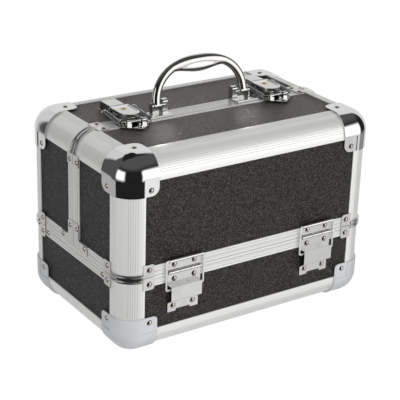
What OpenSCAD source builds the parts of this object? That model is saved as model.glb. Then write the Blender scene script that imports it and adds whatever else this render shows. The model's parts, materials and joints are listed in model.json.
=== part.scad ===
// Aluminium-framed makeup train case, in millimetres.
// X runs along the length, the front faces -Y, Z is up, and Z = 0 is what the case stands on.
// A base carries two upper halves that part along the middle of the lid and swing out on
// stay hinges. Each half draws two cantilever trays after it on parallel arms.

/* [Case] */
// Length of the frame along X
case_l = 365; // [300:1:420]
// Depth of the frame along Y
case_d = 233; // [215:1:260]
// Height of the top of the frame above the ground
case_h = 250; // [240:1:300]
// Height of the seam between the base and the two halves
seam_z = 101; // [95:1:112]
// Gap between neighbouring frames along every seam
seam_gap = 0.6; // [0.4:0.1:1.2]

/* [Frame extrusions] */
// Width of each leg of the rounded edge extrusion
edge_leg = 30; // [28:0.5:32]
// Outer radius of the rounded edge extrusion
edge_r = 27; // [24:0.5:27]
// Wall of every extrusion
frame_t = 1.4; // [1:0.1:1.8]
// Face width of the flat rim extrusion along the seams
rim_w = 12.6; // [11:0.2:14]
// Depth by which a panel's edge sits inside its extrusion
panel_tuck = 4; // [3:0.5:5]
// Reach of the inner flange behind the panel, beyond the panel's edge
flange_w = 3.6; // [3:0.1:4]
// Thickness of the covered panels
panel_t = 4; // [3:0.5:5]
// Height of the fine ribs along the rim extrusion
rib_h = 0.4; // [0.2:0.1:0.6]

/* [Corners and brackets] */
// Sheet thickness of the corners, which stand proud of the frame
corner_t = 1.2; // [0.8:0.1:1.6]
// How far a corner's ball and legs stand proud of its flat ears
corner_boss = 0.8; // [0.4:0.1:1]
// Reach of a corner along each edge, from the outer corner
corner_reach = 47; // [44:0.5:50]
// Distance of a corner's side rivets from the upright's faces
ear_in = 36.2; // [35:0.1:38]
// Distance of a corner's side rivets from the top or the bottom
ear_up = 39.8; // [38:0.1:41]
// Distance of a corner's top rivet from the faces
ear_top = 34; // [33:0.5:37]
// Radius of an upper corner's riveted ears
ear_round = 10; // [6:0.5:12]
// Radius of a bottom corner's riveted ears
foot_round = 5.5; // [4:0.5:8]
// Sheet thickness of the seam brackets
bracket_t = 1.1; // [0.8:0.1:1.4]
// Height of a seam bracket on one side of the seam
bracket_h = 16; // [14:0.5:18]
// Width of a seam bracket's riveted tab
tab_w = 15; // [13:0.5:17]
// Height of the band that a seam bracket wraps round the edge
band_h = 5; // [4:0.5:7]
// Radius of a rivet's head
rivet_r = 3.6; // [2.8:0.1:4]
// Height of a rivet's head
rivet_h = 1.6; // [1.2:0.1:2.2]

/* [Stay hinges] */
// Distance of each hinge's middle from the end of the case
hinge_in = 83.5; // [78:0.5:100]
// Width of a hinge leaf
leaf_w = 46; // [42:1:50]
// Sheet thickness of the hinge
leaf_t = 1.2; // [1:0.1:1.4]
// Radius of the hinge pin
hinge_pin_r = 1.1; // [0.9:0.1:1.2]
// Outer radius of the knuckles and of the rolled lip
knuckle_r = 2.3; // [2.2:0.1:2.6]
// Radial running clearance of pins in their holes
pin_clear = 0.08; // [0.04:0.01:0.1]
// Height of the rolled lip above the hinge axis
lip_up = 15.3; // [14:0.1:17]
// Distance from the rolled lip down to the wire stay's lower ends
stay_len = 37.8; // [36:0.1:39]
// Radius of the wire stay
wire_r = 1.1; // [0.9:0.1:1.2]
// Distance of the wire stay's arms outside the sides of the leaf
stay_side = 3; // [2:0.25:5]
// Distance of the raised bridge's sides inside the sides of the leaf
bridge_side = 1.5; // [1:0.25:3]
// Clear depth behind the bridge, from the face of the frame
bridge_deep = 6.9; // [6.7:0.1:8]
// Distance of the bridge's top below the hinge axis
bridge_down = 17.5; // [17:0.5:18]
// Height of the bridge's face
bridge_h = 18; // [17:0.5:19]
// Height over which the bridge slopes back to the panel
bridge_slope = 6; // [5.5:0.5:8]
// Height of the riveted foot under the slope
stay_foot_h = 12; // [11:0.5:14]
// Distance of a leaf's rivets from the hinge's middle
leaf_rivet_x = 14; // [12:0.5:17]
// Width of the notch in the riveted foot
foot_notch = 20; // [12:1:22]

/* [Latches] */
// Distance of each latch's middle from the end of the case
latch_in = 76.9; // [72:0.1:80]
// Width of the locking lever
lever_w = 25.4; // [22:0.2:28]
// Reach of the lever ahead of the middle seam
lever_over = 11.5; // [8:0.5:12]
// Height of the lever's top above the frame
lever_top = 12.5; // [12:0.1:14]
// Height of the lever's underside above the frame
lever_low = 4.4; // [4.3:0.1:5]
// Wall of the lever
lever_t = 1.6; // [1.2:0.1:2]
// Distance of the lever's pin behind the middle seam
lever_pin_y = 25; // [24:0.5:28]
// Radius of the lever's pin
lever_pin_r = 1.5; // [1.2:0.1:1.8]
// Distance of the draw springs from the latch's middle
spring_x = 20; // [19:0.5:22]
// Outer radius of a draw spring
spring_r = 3; // [2.6:0.1:3.2]
// Radius of the spring's wire
spring_wire_r = 0.55; // [0.4:0.05:0.7]
// Length of a draw spring
spring_len = 15.4; // [13:0.2:15.6]
// Radius of the key barrel
barrel_r = 3.4; // [3:0.1:4]
// Length of the strap behind the lever
strap_len = 24; // [18:1:40]
// Width of the strap behind the lever
strap_w = 20; // [14:1:24]
// Distance of the catch plate's front rivet ahead of the middle seam
catch_front = 27.5; // [26:0.5:32]
// Distance of the catch plate's side rivets ahead of the middle seam
catch_side = 13.5; // [12:0.5:16]
// Distance of the catch plate's side rivets from the latch's middle
catch_ear_x = 17; // [16:0.5:19]
// Distance of each hook from the latch's middle
hook_x = 10.5; // [9:0.5:12]
// Width of a hook
hook_w = 6; // [4:0.5:6]

/* [Handle] */
// Distance of a handle bracket's end from the middle of the latch beside it
latch_gap = 24.65; // [24.6:0.05:28]
// Height of the bow's centre line above its pivot
bow_h = 49.4; // [44:0.2:60]
// Squareness of the bow's arch: 2 is an ellipse
bow_square = 2.3; // [2:0.05:2.8]
// Width of the bow's section across the bow
bow_w = 10.9; // [9:0.1:12]
// Thickness of the bow's section
bow_t = 8.8; // [7:0.2:9]
// Depth of the finger swell under the middle of the bow
swell_h = 10.5; // [4:0.5:14]
// Distance over which the finger swell runs out on each side
swell_x = 38; // [30:1:42]
// Lean of the handle towards the rear against its stop
handle_lean = 9.3; // [4:0.1:12]
// Height of the handle's pivot above the frame
pivot_up = 12; // [11.6:0.1:14]
// Distance of the handle's pivot behind the middle seam
pivot_back = 4.7; // [4.5:0.1:6]
// Radius of the eye at the foot of a leg
eye_r = 5.4; // [5:0.1:6]
// Width of the post beside each leg
post_w = 7.2; // [5:0.2:8]
// Height of the post above the frame
post_up = 18; // [16:0.5:22]
// Gap between a leg's eye and the post beside it
post_gap = 3.1; // [0.4:0.1:3.5]
// Thickness of the handle brackets' plates
mount_t = 1.8; // [1.4:0.1:2.2]
// Length of a handle bracket's plate
mount_l = 32.5; // [31:0.5:36]

/* [Trays] */
// Distance of a tray's end from the end of the case
tray_in = 18.5; // [17.5:0.5:30]
// Depth of a half that its trays leave free
tray_free = 34.5; // [33:0.5:44]
// Distance from the outer arm's pivots to the tray's outer wall
tray_lap = 21; // [15:0.5:21.5]
// Height of each tray
tray_h = 33; // [26:1:33]
// Wall of each tray
tray_t = 1.6; // [1.2:0.1:2.4]
// Distance from an arm's foot to the lower tray's pivot
arm_low = 45; // [44:0.5:48]
// Distance from the lower tray's pivot to the upper one's
arm_step = 55; // [54:0.5:58]
// Lean of the arms towards the middle when the case is shut
arm_lean = 15; // [10:1:15]
// Swing of the arms as a half opens
arm_swing = 65; // [55:1:65]
// Width of an arm
arm_w = 10; // [8:0.5:11]
// Thickness of an arm
arm_t = 2; // [1.5:0.1:2.5]
// Distance between an outer and an inner arm
arm_gap = 40; // [34:1:42]
// Distance of an outer arm's foot from the face of the frame
arm_in = 24.5; // [24:0.5:28]
// Depth of the arms' feet below the seam
arm_down = 7; // [6.5:0.5:9]
// Radius of the tray pins
tray_pin_r = 2; // [1.6:0.1:2.4]

/* [Hidden] */
$fn = 48;

LEFT = -1;
RIGHT = 1;
SIDES = [LEFT, RIGHT];
// A sliver that makes cuts pass right through
past = 0.1;
half_gap = seam_gap / 2;
half_l = case_l / 2;
half_d = case_d / 2;
frame_bottom = corner_t;
panel_edge = edge_leg - panel_tuck;
slot_back = frame_t + panel_t;
shell_bottom = seam_z + half_gap;
base_top = seam_z - half_gap;
rivet_ball_r = (rivet_r * rivet_r + rivet_h * rivet_h) / (2 * rivet_h);
seam_rivet_up = 0.56 * bracket_h;
seam_rivet_in = edge_r + tab_w / 2 + 0.7;
seam_ear_in = rim_w - rivet_r - 1;
top_tab_gap = 9.5;
top_tab_in = edge_r + top_tab_gap;
angle_v = 34;
angle_h = 33;

// Hinge axis, seen from the end
axis_y = half_d + knuckle_r + past;
axis_z = seam_z;
lip_y = half_d + leaf_t + knuckle_r - half_gap;
lip_z = axis_z + lip_up;
wire_hole_r = wire_r + pin_clear;
hinge_hole_r = hinge_pin_r + pin_clear;
leaf_edge = 1.6;
leaf_rivet_z = 9.2;
knuckle_split = leaf_w / 3;
knuckle_gap = 0.4;
hinge_x = half_l - hinge_in;
latch_x = half_l - latch_in;
stay_w = leaf_w + 2 * stay_side;
bridge_w = leaf_w - 2 * bridge_side;
bridge_top = seam_z - bridge_down;
bridge_low = bridge_top - bridge_h;
stay_foot_top = bridge_low - bridge_slope;
stay_foot_low = stay_foot_top - stay_foot_h;

// Latch heights and the arc that the front half's edge sweeps as it opens
sweep_clear = 0.6;
lip_sweep_r = norm([axis_y, case_h + corner_t - axis_z]) + sweep_clear;
catch_sweep_r = lip_sweep_r - sweep_clear;
lever_pin_z = case_h + lever_top - 5;
lever_back_r = 5;
rail_t = 1.2;
rail_x = lever_w / 2 + 0.5;
rail_front = 7;
latch_plate_t = 1.5;
hook_h = 8;
hook_nose_r = 2.6;
bail_z = case_h + latch_plate_t + wire_r + 0.3;
bail_bar_y = 3.4;
bail_eye_r = 3;
barrel_y = 14;
bail_rise = atan2(lever_pin_z - bail_z, lever_pin_y - bail_bar_y);
bail_len = norm([lever_pin_y - bail_bar_y, lever_pin_z - bail_z]);

// Handle
pivot_z = case_h + pivot_up;
handle_pin_r = 2.2;
eye_w = bow_w + 0.6;
ear_gap = 0.4;
post_x = latch_x - latch_gap - mount_l;
leg_x = post_x + post_w + post_gap + eye_w / 2;
post_y = pivot_back - 0.8;
ear_r = 4;

// Trays and arms
tray_l = case_l - 2 * tray_in;
tray_w = half_d - tray_free;
arm_x = tray_l / 2 + 3;
arm_foot_y = half_d - arm_in;
arm_foot_z = seam_z - arm_down;
arm_end = arm_low + arm_step;
tray_pin_up = 6;
pin_hole_r = tray_pin_r + pin_clear;

// ---------------------------------------------------------------- placing

// Mirrors its children to the right-hand side when side is RIGHT
module on_side(side) {
    if (side == RIGHT) mirror([1, 0, 0]) children();
    else children();
}

// Mirrors its children to the rear
module to_rear() {
    mirror([0, 1, 0]) children();
}

// Both ends of the case
module both_ends() {
    for (side = SIDES) on_side(side) children();
}

// Flat strip with round ends between two points, in the plane z = 0
module strip(a, b, r) {
    along = (b - a) / norm(b - a);
    side = r * [along[1], -along[0]];
    polygon([a + side, b + side, b - side, a - side]);
    translate(a) circle(r);
    translate(b) circle(r);
}

// Mirrors its children front to rear as well as drawing them
module front_and_rear() {
    for (rear = [0, 1]) mirror([0, rear, 0]) children();
}

// ---------------------------------------------------------------- frame sections

// Half of the edge extrusion: lip, slot for a panel and inner flange along one leg
module edge_leg_section() {
    translate([edge_r, 0]) square([edge_leg - edge_r, frame_t]);
    translate([panel_edge - frame_t, frame_t / 2]) square([frame_t, slot_back + frame_t / 2]);
    translate([panel_edge - frame_t, slot_back]) square([flange_w + frame_t, frame_t]);
}

// Rounded edge extrusion with its outer corner at the origin
module edge_section() {
    intersection() {
        translate([edge_r, edge_r]) difference() {
            circle(edge_r, $fn = 96);
            circle(edge_r - frame_t, $fn = 96);
        }
        square(edge_r);
    }
    edge_leg_section();
    mirror([1, -1]) edge_leg_section();
}

// Flat rim extrusion: face at y = 0, seam edge at x = 0, ribbed face and panel slot behind
module rim_section() {
    difference() {
        square([rim_w, frame_t]);
        for (i = [1 : 3]) {
            translate([i * rim_w / 4 - rib_h, -past]) square([2 * rib_h, rib_h + past]);
        }
    }
    square([frame_t, slot_back + frame_t]);
    translate([0, slot_back]) square([flange_w + frame_t + panel_tuck, frame_t]);
}

// Upright edge extrusion at the front left corner, from z0 to z1
module upright_edge(z0, z1) {
    translate([-half_l, -half_d, z0]) linear_extrude(z1 - z0) edge_section();
}

// Edge extrusion along X at the front: top when up is true, otherwise bottom
module long_edge(up) {
    translate([-half_l + edge_leg, -half_d, up ? case_h : frame_bottom])
        rotate([90, 0, 90])
            linear_extrude(case_l - 2 * edge_leg)
                mirror([0, up ? 1 : 0]) edge_section();
}

// Edge extrusion along Y at the left end, from y0 to y1
module end_edge(up, y0, y1) {
    translate([-half_l, y1, up ? case_h : frame_bottom])
        rotate([90, 0, 0])
            linear_extrude(y1 - y0)
                mirror([0, up ? 1 : 0]) edge_section();
}

// Rim along X on the front face, above the seam when above is true
module long_rim(above) {
    translate([-half_l + edge_leg, -half_d, above ? shell_bottom : base_top])
        rotate([90, 0, 90])
            linear_extrude(case_l - 2 * edge_leg)
                mirror([0, above ? 0 : 1]) mirror([1, -1]) rim_section();
}

// Rim along Y on the left end, from y0 to y1
module end_rim(above, y0, y1) {
    translate([-half_l, y1, above ? shell_bottom : base_top])
        rotate([90, 0, 0])
            linear_extrude(y1 - y0)
                mirror([0, above ? 0 : 1]) mirror([1, -1]) rim_section();
}

// ---------------------------------------------------------------- corners, brackets, rivets

// Flat ear of a corner between its legs, with a rounded outer corner
module corner_face(round_r) {
    side = corner_reach - edge_r;
    translate([edge_r, edge_r]) {
        square([side, side - round_r]);
        square([side - round_r, side]);
        translate([side - round_r, side - round_r]) circle(round_r);
    }
}

// A quarter of a tube that follows the rounded edge, along local Z
module edge_wrap(len, t) {
    linear_extrude(len) intersection() {
        translate([edge_r, edge_r]) difference() {
            circle(edge_r + t, $fn = 96);
            circle(edge_r, $fn = 96);
        }
        translate([-t, -t]) square(edge_r + t);
    }
}

// The ball of a corner: an eighth of a hollow sphere round the frame's own corner
module ball_octant() {
    translate([edge_r, edge_r, edge_r]) mirror([1, 0, 0]) mirror([0, 1, 0]) mirror([0, 0, 1])
        rotate_extrude(angle = 90, $fn = 96) intersection() {
            difference() {
                circle(edge_r + corner_t + corner_boss, $fn = 96);
                circle(edge_r, $fn = 96);
            }
            square(edge_r + corner_t + corner_boss);
        }
}

// Pressed corner with its outer corner at the origin and the case on the positive side:
// three flat ears, and the ball and three legs proud of them but cut level underneath
module corner(round_r) {
    leg = corner_reach - edge_r;
    leg_t = corner_t + corner_boss;
    difference() {
        union() {
            ball_octant();
            translate([0, 0, edge_r]) edge_wrap(leg, leg_t);
            translate([edge_r, 0, 0]) rotate([90, 0, 90]) edge_wrap(leg, leg_t);
            translate([0, corner_reach, 0]) rotate([90, 0, 0]) edge_wrap(leg, leg_t);
        }
        translate([-leg_t - past, -leg_t - past, -leg_t - past])
            cube([corner_reach + leg_t + 2 * past, corner_reach + leg_t + 2 * past, corner_boss + past]);
    }
    translate([0, 0, -corner_t]) linear_extrude(corner_t) corner_face(round_r);
    rotate([90, 0, 0]) linear_extrude(corner_t) corner_face(round_r);
    translate([-corner_t, 0, 0]) rotate([90, 0, 90]) linear_extrude(corner_t) corner_face(round_r);
}

// Domed rivet head on the plane z = 0
module rivet() {
    intersection() {
        translate([0, 0, rivet_h - rivet_ball_r]) sphere(rivet_ball_r);
        cylinder(r = rivet_r, h = rivet_h);
    }
}

// Rivet on the front face at x and z, standing on a sheet of thickness t
module front_rivet(x, z, t) {
    translate([x, -half_d - t, z]) rotate([90, 0, 0]) rivet();
}

// Rivet on the left end at y and z
module end_rivet(y, z, t) {
    translate([-half_l - t, y, z]) rotate([0, -90, 0]) rivet();
}

// Rivet on the top at x and y
module top_rivet(x, y, t) {
    translate([x, y, case_h + t]) rivet();
}

// The rivets of the front left corner, at the top or the bottom
module corner_rivets(up) {
    z = up ? case_h - ear_up : frame_bottom + ear_up;
    front_rivet(-half_l + ear_in, z, corner_t);
    end_rivet(-half_d + ear_in, z, corner_t);
    if (up) top_rivet(-half_l + ear_top, -half_d + ear_top, corner_t);
}

// Seam bracket on the front left upright, on the upper side of a seam at z = 0
module seam_bracket() {
    tab0 = edge_r;
    translate([-half_l, -half_d, 0]) {
        edge_wrap(band_h, bracket_t);
        translate([0, 0, band_h / 2]) edge_bead();
        for (flip = [0, 1]) mirror([flip, -flip, 0]) {
            translate([tab0, 0, 0]) rotate([90, 0, 0]) linear_extrude(bracket_t) tab_outline();
        }
    }
}

// Half-round bead that stiffens the band of a seam bracket
module edge_bead() {
    bead_r = 1.1;
    intersection() {
        translate([edge_r, edge_r, 0]) rotate_extrude($fn = 96)
            translate([edge_r + bracket_t, 0]) circle(bead_r);
        translate([-bracket_t - bead_r, -bracket_t - bead_r, -bead_r])
            cube([edge_r + bracket_t + bead_r, edge_r + bracket_t + bead_r, 2 * bead_r]);
    }
}

// Riveted tab with rounded corners
module tab_outline() {
    round_r = 3;
    difference() {
        square([tab_w, bracket_h]);
        translate([tab_w - round_r, bracket_h - round_r]) difference() {
            square(round_r + past);
            circle(round_r);
        }
    }
}

// Rivets of one upper seam bracket at the front left
module seam_bracket_rivets(z) {
    front_rivet(-half_l + seam_rivet_in, z, bracket_t);
    end_rivet(-half_d + seam_rivet_in, z, bracket_t);
}

// L-shaped bracket where the end seam meets the base seam, left end of the front half
module end_angle() {
    fillet_r = 5;
    end_r = 4;
    translate([-half_l - bracket_t, -half_gap, shell_bottom])
        rotate([90, 0, 90]) linear_extrude(bracket_t) mirror([1, 0]) {
            square([rim_w, angle_v - end_r]);
            square([rim_w - end_r, angle_v]);
            translate([rim_w - end_r, angle_v - end_r]) circle(end_r);
            square([angle_h - end_r, rim_w]);
            square([angle_h, rim_w - end_r]);
            translate([angle_h - end_r, rim_w - end_r]) circle(end_r);
            translate([rim_w - past, rim_w - past]) difference() {
                square(fillet_r);
                translate([fillet_r, fillet_r]) circle(fillet_r);
            }
        }
}

// Bracket that wraps the rounded top end edge beside the middle seam, front half
module top_end_bracket() {
    band = 6;
    tab = 13;
    reach = top_tab_in + 5;
    translate([-half_l, -half_gap, case_h]) mirror([0, 0, 1]) rotate([90, 0, 0]) {
        edge_wrap(band, bracket_t);
        translate([0, 0, band / 2]) edge_bead();
    }
    // Tab on the top, and tab on the end face
    translate([-half_l + edge_r, -half_gap - tab, case_h]) cube([reach - edge_r, tab, bracket_t]);
    translate([-half_l - bracket_t, -half_gap - tab, case_h - reach])
        cube([bracket_t, tab, reach - edge_r]);
}

// ---------------------------------------------------------------- panels

// Panel on the front face between two heights
module face_panel(z0, z1) {
    translate([-half_l + panel_edge, -half_d + frame_t, z0])
        cube([case_l - 2 * panel_edge, panel_t, z1 - z0]);
}

// Panel on the left end between two depths and heights
module end_panel(y0, y1, z0, z1) {
    translate([-half_l + frame_t, y0, z0]) cube([panel_t, y1 - y0, z1 - z0]);
}

shell_panel_low = shell_bottom + frame_t;
shell_panel_high = case_h - panel_edge;
base_panel_low = frame_bottom + panel_edge;
base_panel_high = base_top - frame_t;
inner_y = -half_gap - frame_t;

module shell_face_panel() {
    color("#353230") face_panel(shell_panel_low, shell_panel_high);
}

module shell_top_panel() {
    color("#4a4542")
        translate([-half_l + panel_edge, -half_d + panel_edge, case_h - slot_back])
            cube([case_l - 2 * panel_edge, half_d - panel_edge + inner_y, panel_t]);
}

module shell_end_panel() {
    color("#3c3a3b")
        end_panel(-half_d + panel_edge, inner_y, shell_panel_low, shell_panel_high);
}

module base_face_panel() {
    color("#353230") face_panel(base_panel_low, base_panel_high);
}

module base_end_panel() {
    color("#3c3a3b")
        end_panel(-half_d + panel_edge, half_d - panel_edge, base_panel_low, base_panel_high);
}

module base_floor() {
    color("#2b2929")
        translate([-half_l + panel_edge, -half_d + panel_edge, frame_bottom + frame_t])
            cube([case_l - 2 * panel_edge, case_d - 2 * panel_edge, panel_t]);
}

// ---------------------------------------------------------------- base frame

module base_corner_profiles() {
    color("silver") front_and_rear() both_ends()
        upright_edge(frame_bottom + edge_leg, base_top);
}

module base_bottom_rails() {
    color("silver") {
        front_and_rear() long_edge(false);
        both_ends() end_edge(false, -half_d + edge_leg, half_d - edge_leg);
    }
}

module base_rim() {
    color("silver") {
        front_and_rear() long_rim(false);
        both_ends() end_rim(false, -half_d + edge_leg, half_d - edge_leg);
    }
}

module base_corners() {
    color("gainsboro") front_and_rear() both_ends()
        translate([-half_l, -half_d, frame_bottom]) corner(foot_round);
}

module base_seam_brackets() {
    color("gainsboro") front_and_rear() both_ends()
        translate([0, 0, base_top]) mirror([0, 0, 1]) seam_bracket();
}

module base_rivets() {
    color("lightgrey") front_and_rear() {
        both_ends() {
            corner_rivets(false);
            seam_bracket_rivets(base_top - seam_rivet_up);
            // Head of the rivet that holds the tray arms' plate inside
            end_rivet(-arm_foot_y + arm_gap / 2 + rivet_r, arm_foot_z - 1, 0);
        }
        at_hinges() for (dx = leaf_rivet_x * SIDES) {
            front_rivet(dx, seam_z - leaf_rivet_z, leaf_t);
            front_rivet(dx, stay_foot_top - rivet_r - 0.4, leaf_t - frame_t);
        }
    }
}

// ---------------------------------------------------------------- halves (drawn for the front)

module half_profiles() {
    color("silver") {
        both_ends() {
            upright_edge(shell_bottom, case_h - edge_leg);
            end_edge(true, -half_d + edge_leg, -half_gap);
        }
        long_edge(true);
    }
}

module half_rim() {
    color("silver") {
        long_rim(true);
        both_ends() {
            end_rim(true, -half_d + edge_leg, -half_gap - rim_w);
            // Upright rim beside the end seam
            translate([-half_l, -half_gap, shell_bottom])
                linear_extrude(case_h - edge_leg - shell_bottom)
                    rotate(-90) rim_section();
        }
        // Rim beside the middle seam of the lid
        translate([-half_l + edge_leg, -half_gap, case_h])
            rotate([90, 0, 90]) linear_extrude(case_l - 2 * edge_leg)
                rotate(180) rim_section();
    }
}

module half_ball_corners() {
    color("white") both_ends()
        translate([-half_l, -half_d, case_h]) mirror([0, 0, 1]) corner(ear_round);
}

module half_brackets() {
    color("gainsboro") both_ends() {
        translate([0, 0, shell_bottom]) seam_bracket();
        end_angle();
        top_end_bracket();
    }
}

module half_rivets() {
    color("lightgrey") {
        both_ends() {
            corner_rivets(true);
            seam_bracket_rivets(shell_bottom + seam_rivet_up);
            end_rivet(-half_gap - seam_ear_in, shell_bottom + angle_v - 7.5, bracket_t);
            end_rivet(-half_gap - angle_h + 7, shell_bottom + seam_ear_in, bracket_t);
            end_rivet(-half_gap - seam_ear_in, case_h - top_tab_in, bracket_t);
            top_rivet(-half_l + top_tab_in, -half_gap - seam_ear_in, bracket_t);
        }
        at_hinges() for (dx = leaf_rivet_x * SIDES)
            front_rivet(dx, seam_z + leaf_rivet_z, leaf_t);
    }
}

// ---------------------------------------------------------------- stay hinges (front)

// A tube along X, centred on x = 0
module tube_x(len, r, hole) {
    rotate([0, 90, 0]) difference() {
        cylinder(r = r, h = len, center = true);
        cylinder(r = hole, h = len + 2 * past, center = true);
    }
}

// Upper leaf, with the middle knuckle and the rolled lip that holds the stay
module upper_leaf() {
    difference() {
        union() {
            translate([-leaf_w / 2, -half_d - leaf_t, axis_z + leaf_edge])
                cube([leaf_w, leaf_t, lip_up - leaf_edge]);
            translate([-knuckle_split / 2 + knuckle_gap, -half_d - leaf_t, axis_z])
                cube([knuckle_split - 2 * knuckle_gap, leaf_t, leaf_edge + past]);
            translate([0, -axis_y, axis_z]) rotate([0, 90, 0])
                cylinder(r = knuckle_r, h = knuckle_split - 2 * knuckle_gap, center = true);
            translate([0, -lip_y, lip_z]) rotate([0, 90, 0])
                cylinder(r = knuckle_r, h = leaf_w, center = true);
        }
        translate([0, -axis_y, axis_z]) rotate([0, 90, 0])
            cylinder(r = hinge_hole_r, h = leaf_w, center = true);
        translate([0, -lip_y, lip_z]) rotate([0, 90, 0])
            cylinder(r = wire_hole_r, h = leaf_w + 2 * past, center = true);
        // The back of the leaf lies flat on the rim
        translate([-leaf_w, -half_d, axis_z - knuckle_r - past])
            cube([2 * leaf_w, 2 * knuckle_r, lip_up + 3 * knuckle_r]);
        // Room for the lower leaf's knuckles
        for (side = SIDES)
            translate([side * (leaf_w - knuckle_split) / 2, -axis_y, axis_z]) rotate([0, 90, 0])
                cylinder(r = knuckle_r + knuckle_gap, h = knuckle_split + past, center = true);
    }
}

// Lower leaf with the two outer knuckles
module lower_leaf() {
    difference() {
        union() {
            translate([-leaf_w / 2, -half_d - leaf_t, bridge_top])
                cube([leaf_w, leaf_t, axis_z - leaf_edge - bridge_top]);
            for (side = SIDES) {
                translate([side * (leaf_w - knuckle_split) / 2, 0, 0]) {
                    translate([-knuckle_split / 2, -half_d - leaf_t, axis_z - leaf_edge - past])
                        cube([knuckle_split, leaf_t, leaf_edge + past]);
                    translate([0, -axis_y, axis_z]) rotate([0, 90, 0])
                        cylinder(r = knuckle_r, h = knuckle_split, center = true);
                }
            }
        }
        translate([0, -axis_y, axis_z]) rotate([0, 90, 0])
            cylinder(r = hinge_hole_r, h = leaf_w + 2 * past, center = true);
        // Room for the upper leaf's knuckle
        translate([0, -axis_y, axis_z]) rotate([0, 90, 0])
            cylinder(r = knuckle_r + knuckle_gap, h = knuckle_split, center = true);
    }
}

// Raised bridge that the stay's lower ends slide behind, bent in at the top, and sloping back
// below to the riveted foot
module stay_channel() {
    out = -bridge_deep - leaf_t;
    bend = leaf_t / 2;
    face = frame_t - leaf_t;
    notch_h = 2.6;
    difference() {
        translate([-bridge_w / 2, -half_d, 0]) rotate([90, 0, 90]) linear_extrude(bridge_w) polygon([
            [0, bridge_top], [out, bridge_top], [out, bridge_low],
            [face, stay_foot_top], [face, stay_foot_low],
            [frame_t, stay_foot_low], [frame_t, stay_foot_top + bend],
            [-bridge_deep, bridge_low + bend], [-bridge_deep, bridge_top - leaf_t],
            [0, bridge_top - leaf_t]]);
        translate([-foot_notch / 2, -half_d, stay_foot_low - past])
            cube([foot_notch, 2 * frame_t, notch_h + past]);
    }
}

// Wire stay: crossbar in the rolled lip, two arms and two tips turned in behind the bridge
module stay() {
    bend = 1.6;
    tip = 9;
    x = stay_w / 2;
    translate([0, -lip_y, lip_z]) {
        rotate([0, 90, 0]) cylinder(r = wire_r, h = stay_w - 2 * bend, center = true);
        both_ends() {
            translate([-x, 0, -stay_len + bend]) cylinder(r = wire_r, h = stay_len - 2 * bend);
            translate([-x + bend, 0, -bend]) rotate([90, 0, 0]) wire_bend(bend, 90);
            translate([-x + bend, 0, -stay_len + bend]) rotate([90, 0, 0]) wire_bend(bend, 180);
            translate([-x + bend, 0, -stay_len]) rotate([0, 90, 0])
                cylinder(r = wire_r, h = tip);
        }
    }
}

// A quarter bend of the wire, in the plane z = 0, starting at an angle
module wire_bend(bend, start) {
    rotate(start) rotate_extrude(angle = 90) translate([bend, 0]) circle(wire_r, $fn = 24);
}

module hinge_pin() {
    translate([0, -axis_y, axis_z]) rotate([0, 90, 0])
        cylinder(r = hinge_pin_r, h = leaf_w + 0.6, center = true);
}

module at_hinges() {
    for (side = SIDES) translate([side * hinge_x, 0, 0]) children();
}

module half_hinge_leaves() {
    color("gainsboro") at_hinges() upper_leaf();
}

module base_hinge_leaves() {
    color("gainsboro") front_and_rear() at_hinges() lower_leaf();
}

module stay_channels() {
    color("gainsboro") front_and_rear() at_hinges() stay_channel();
}

module hinge_pins() {
    color("grey") front_and_rear() at_hinges() hinge_pin();
}

// ---------------------------------------------------------------- latches

// Everything that would cross the arc swept by the front half's upper edge
module sweep_disc(r) {
    translate([0, -axis_y, axis_z]) rotate([0, 90, 0])
        cylinder(r = r, h = 2 * lever_w, center = true, $fn = 180);
}

// Plan outline of the lever: straight sides and a round front
module lever_outline(inset) {
    r = lever_w / 2 - inset;
    translate([-r, lever_w / 2 - lever_over])
        square([2 * r, lever_pin_y - lever_w / 2 + lever_over]);
    translate([0, lever_w / 2 - lever_over]) circle(r, $fn = 72);
}

module lever() {
    rim = 1.8;
    low = case_h + lever_low;
    top = case_h + lever_top;
    color("gainsboro") difference() {
        union() {
            translate([0, 0, low]) linear_extrude(lever_top - lever_low) lever_outline(0);
            translate([0, lever_pin_y, lever_pin_z]) rotate([0, 90, 0])
                cylinder(r = lever_back_r, h = lever_w, center = true);
        }
        // Hollow underside
        translate([0, 0, low - past])
            linear_extrude(lever_top - lever_low - lever_t + past)
                difference() {
                    lever_outline(lever_t);
                    translate([-lever_w, lever_pin_y - lever_back_r])
                        square([2 * lever_w, 2 * lever_back_r]);
                }
        // Shallow recess inside the rim of the top
        translate([0, 0, top - 0.5]) linear_extrude(1) intersection() {
            lever_outline(rim);
            translate([-lever_w, -lever_over]) square([2 * lever_w, lever_pin_y + lever_over - 3]);
        }
        sweep_disc(lip_sweep_r);
        translate([0, lever_pin_y, lever_pin_z]) rotate([0, 90, 0])
            cylinder(r = lever_pin_r + pin_clear, h = lever_w + 2 * past, center = true);
        translate([0, barrel_y, low]) cylinder(r = barrel_r + pin_clear, h = lever_top);
    }
}

// Brass key barrel with a keyway across its face
module key_barrel() {
    color("goldenrod") translate([0, barrel_y, case_h + lever_low + 1]) difference() {
        cylinder(r = barrel_r, h = lever_top - lever_low - 1);
        translate([-0.5, -barrel_r * 0.65, lever_top - lever_low - 2.6])
            cube([1, barrel_r * 1.3, 3]);
    }
}

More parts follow.
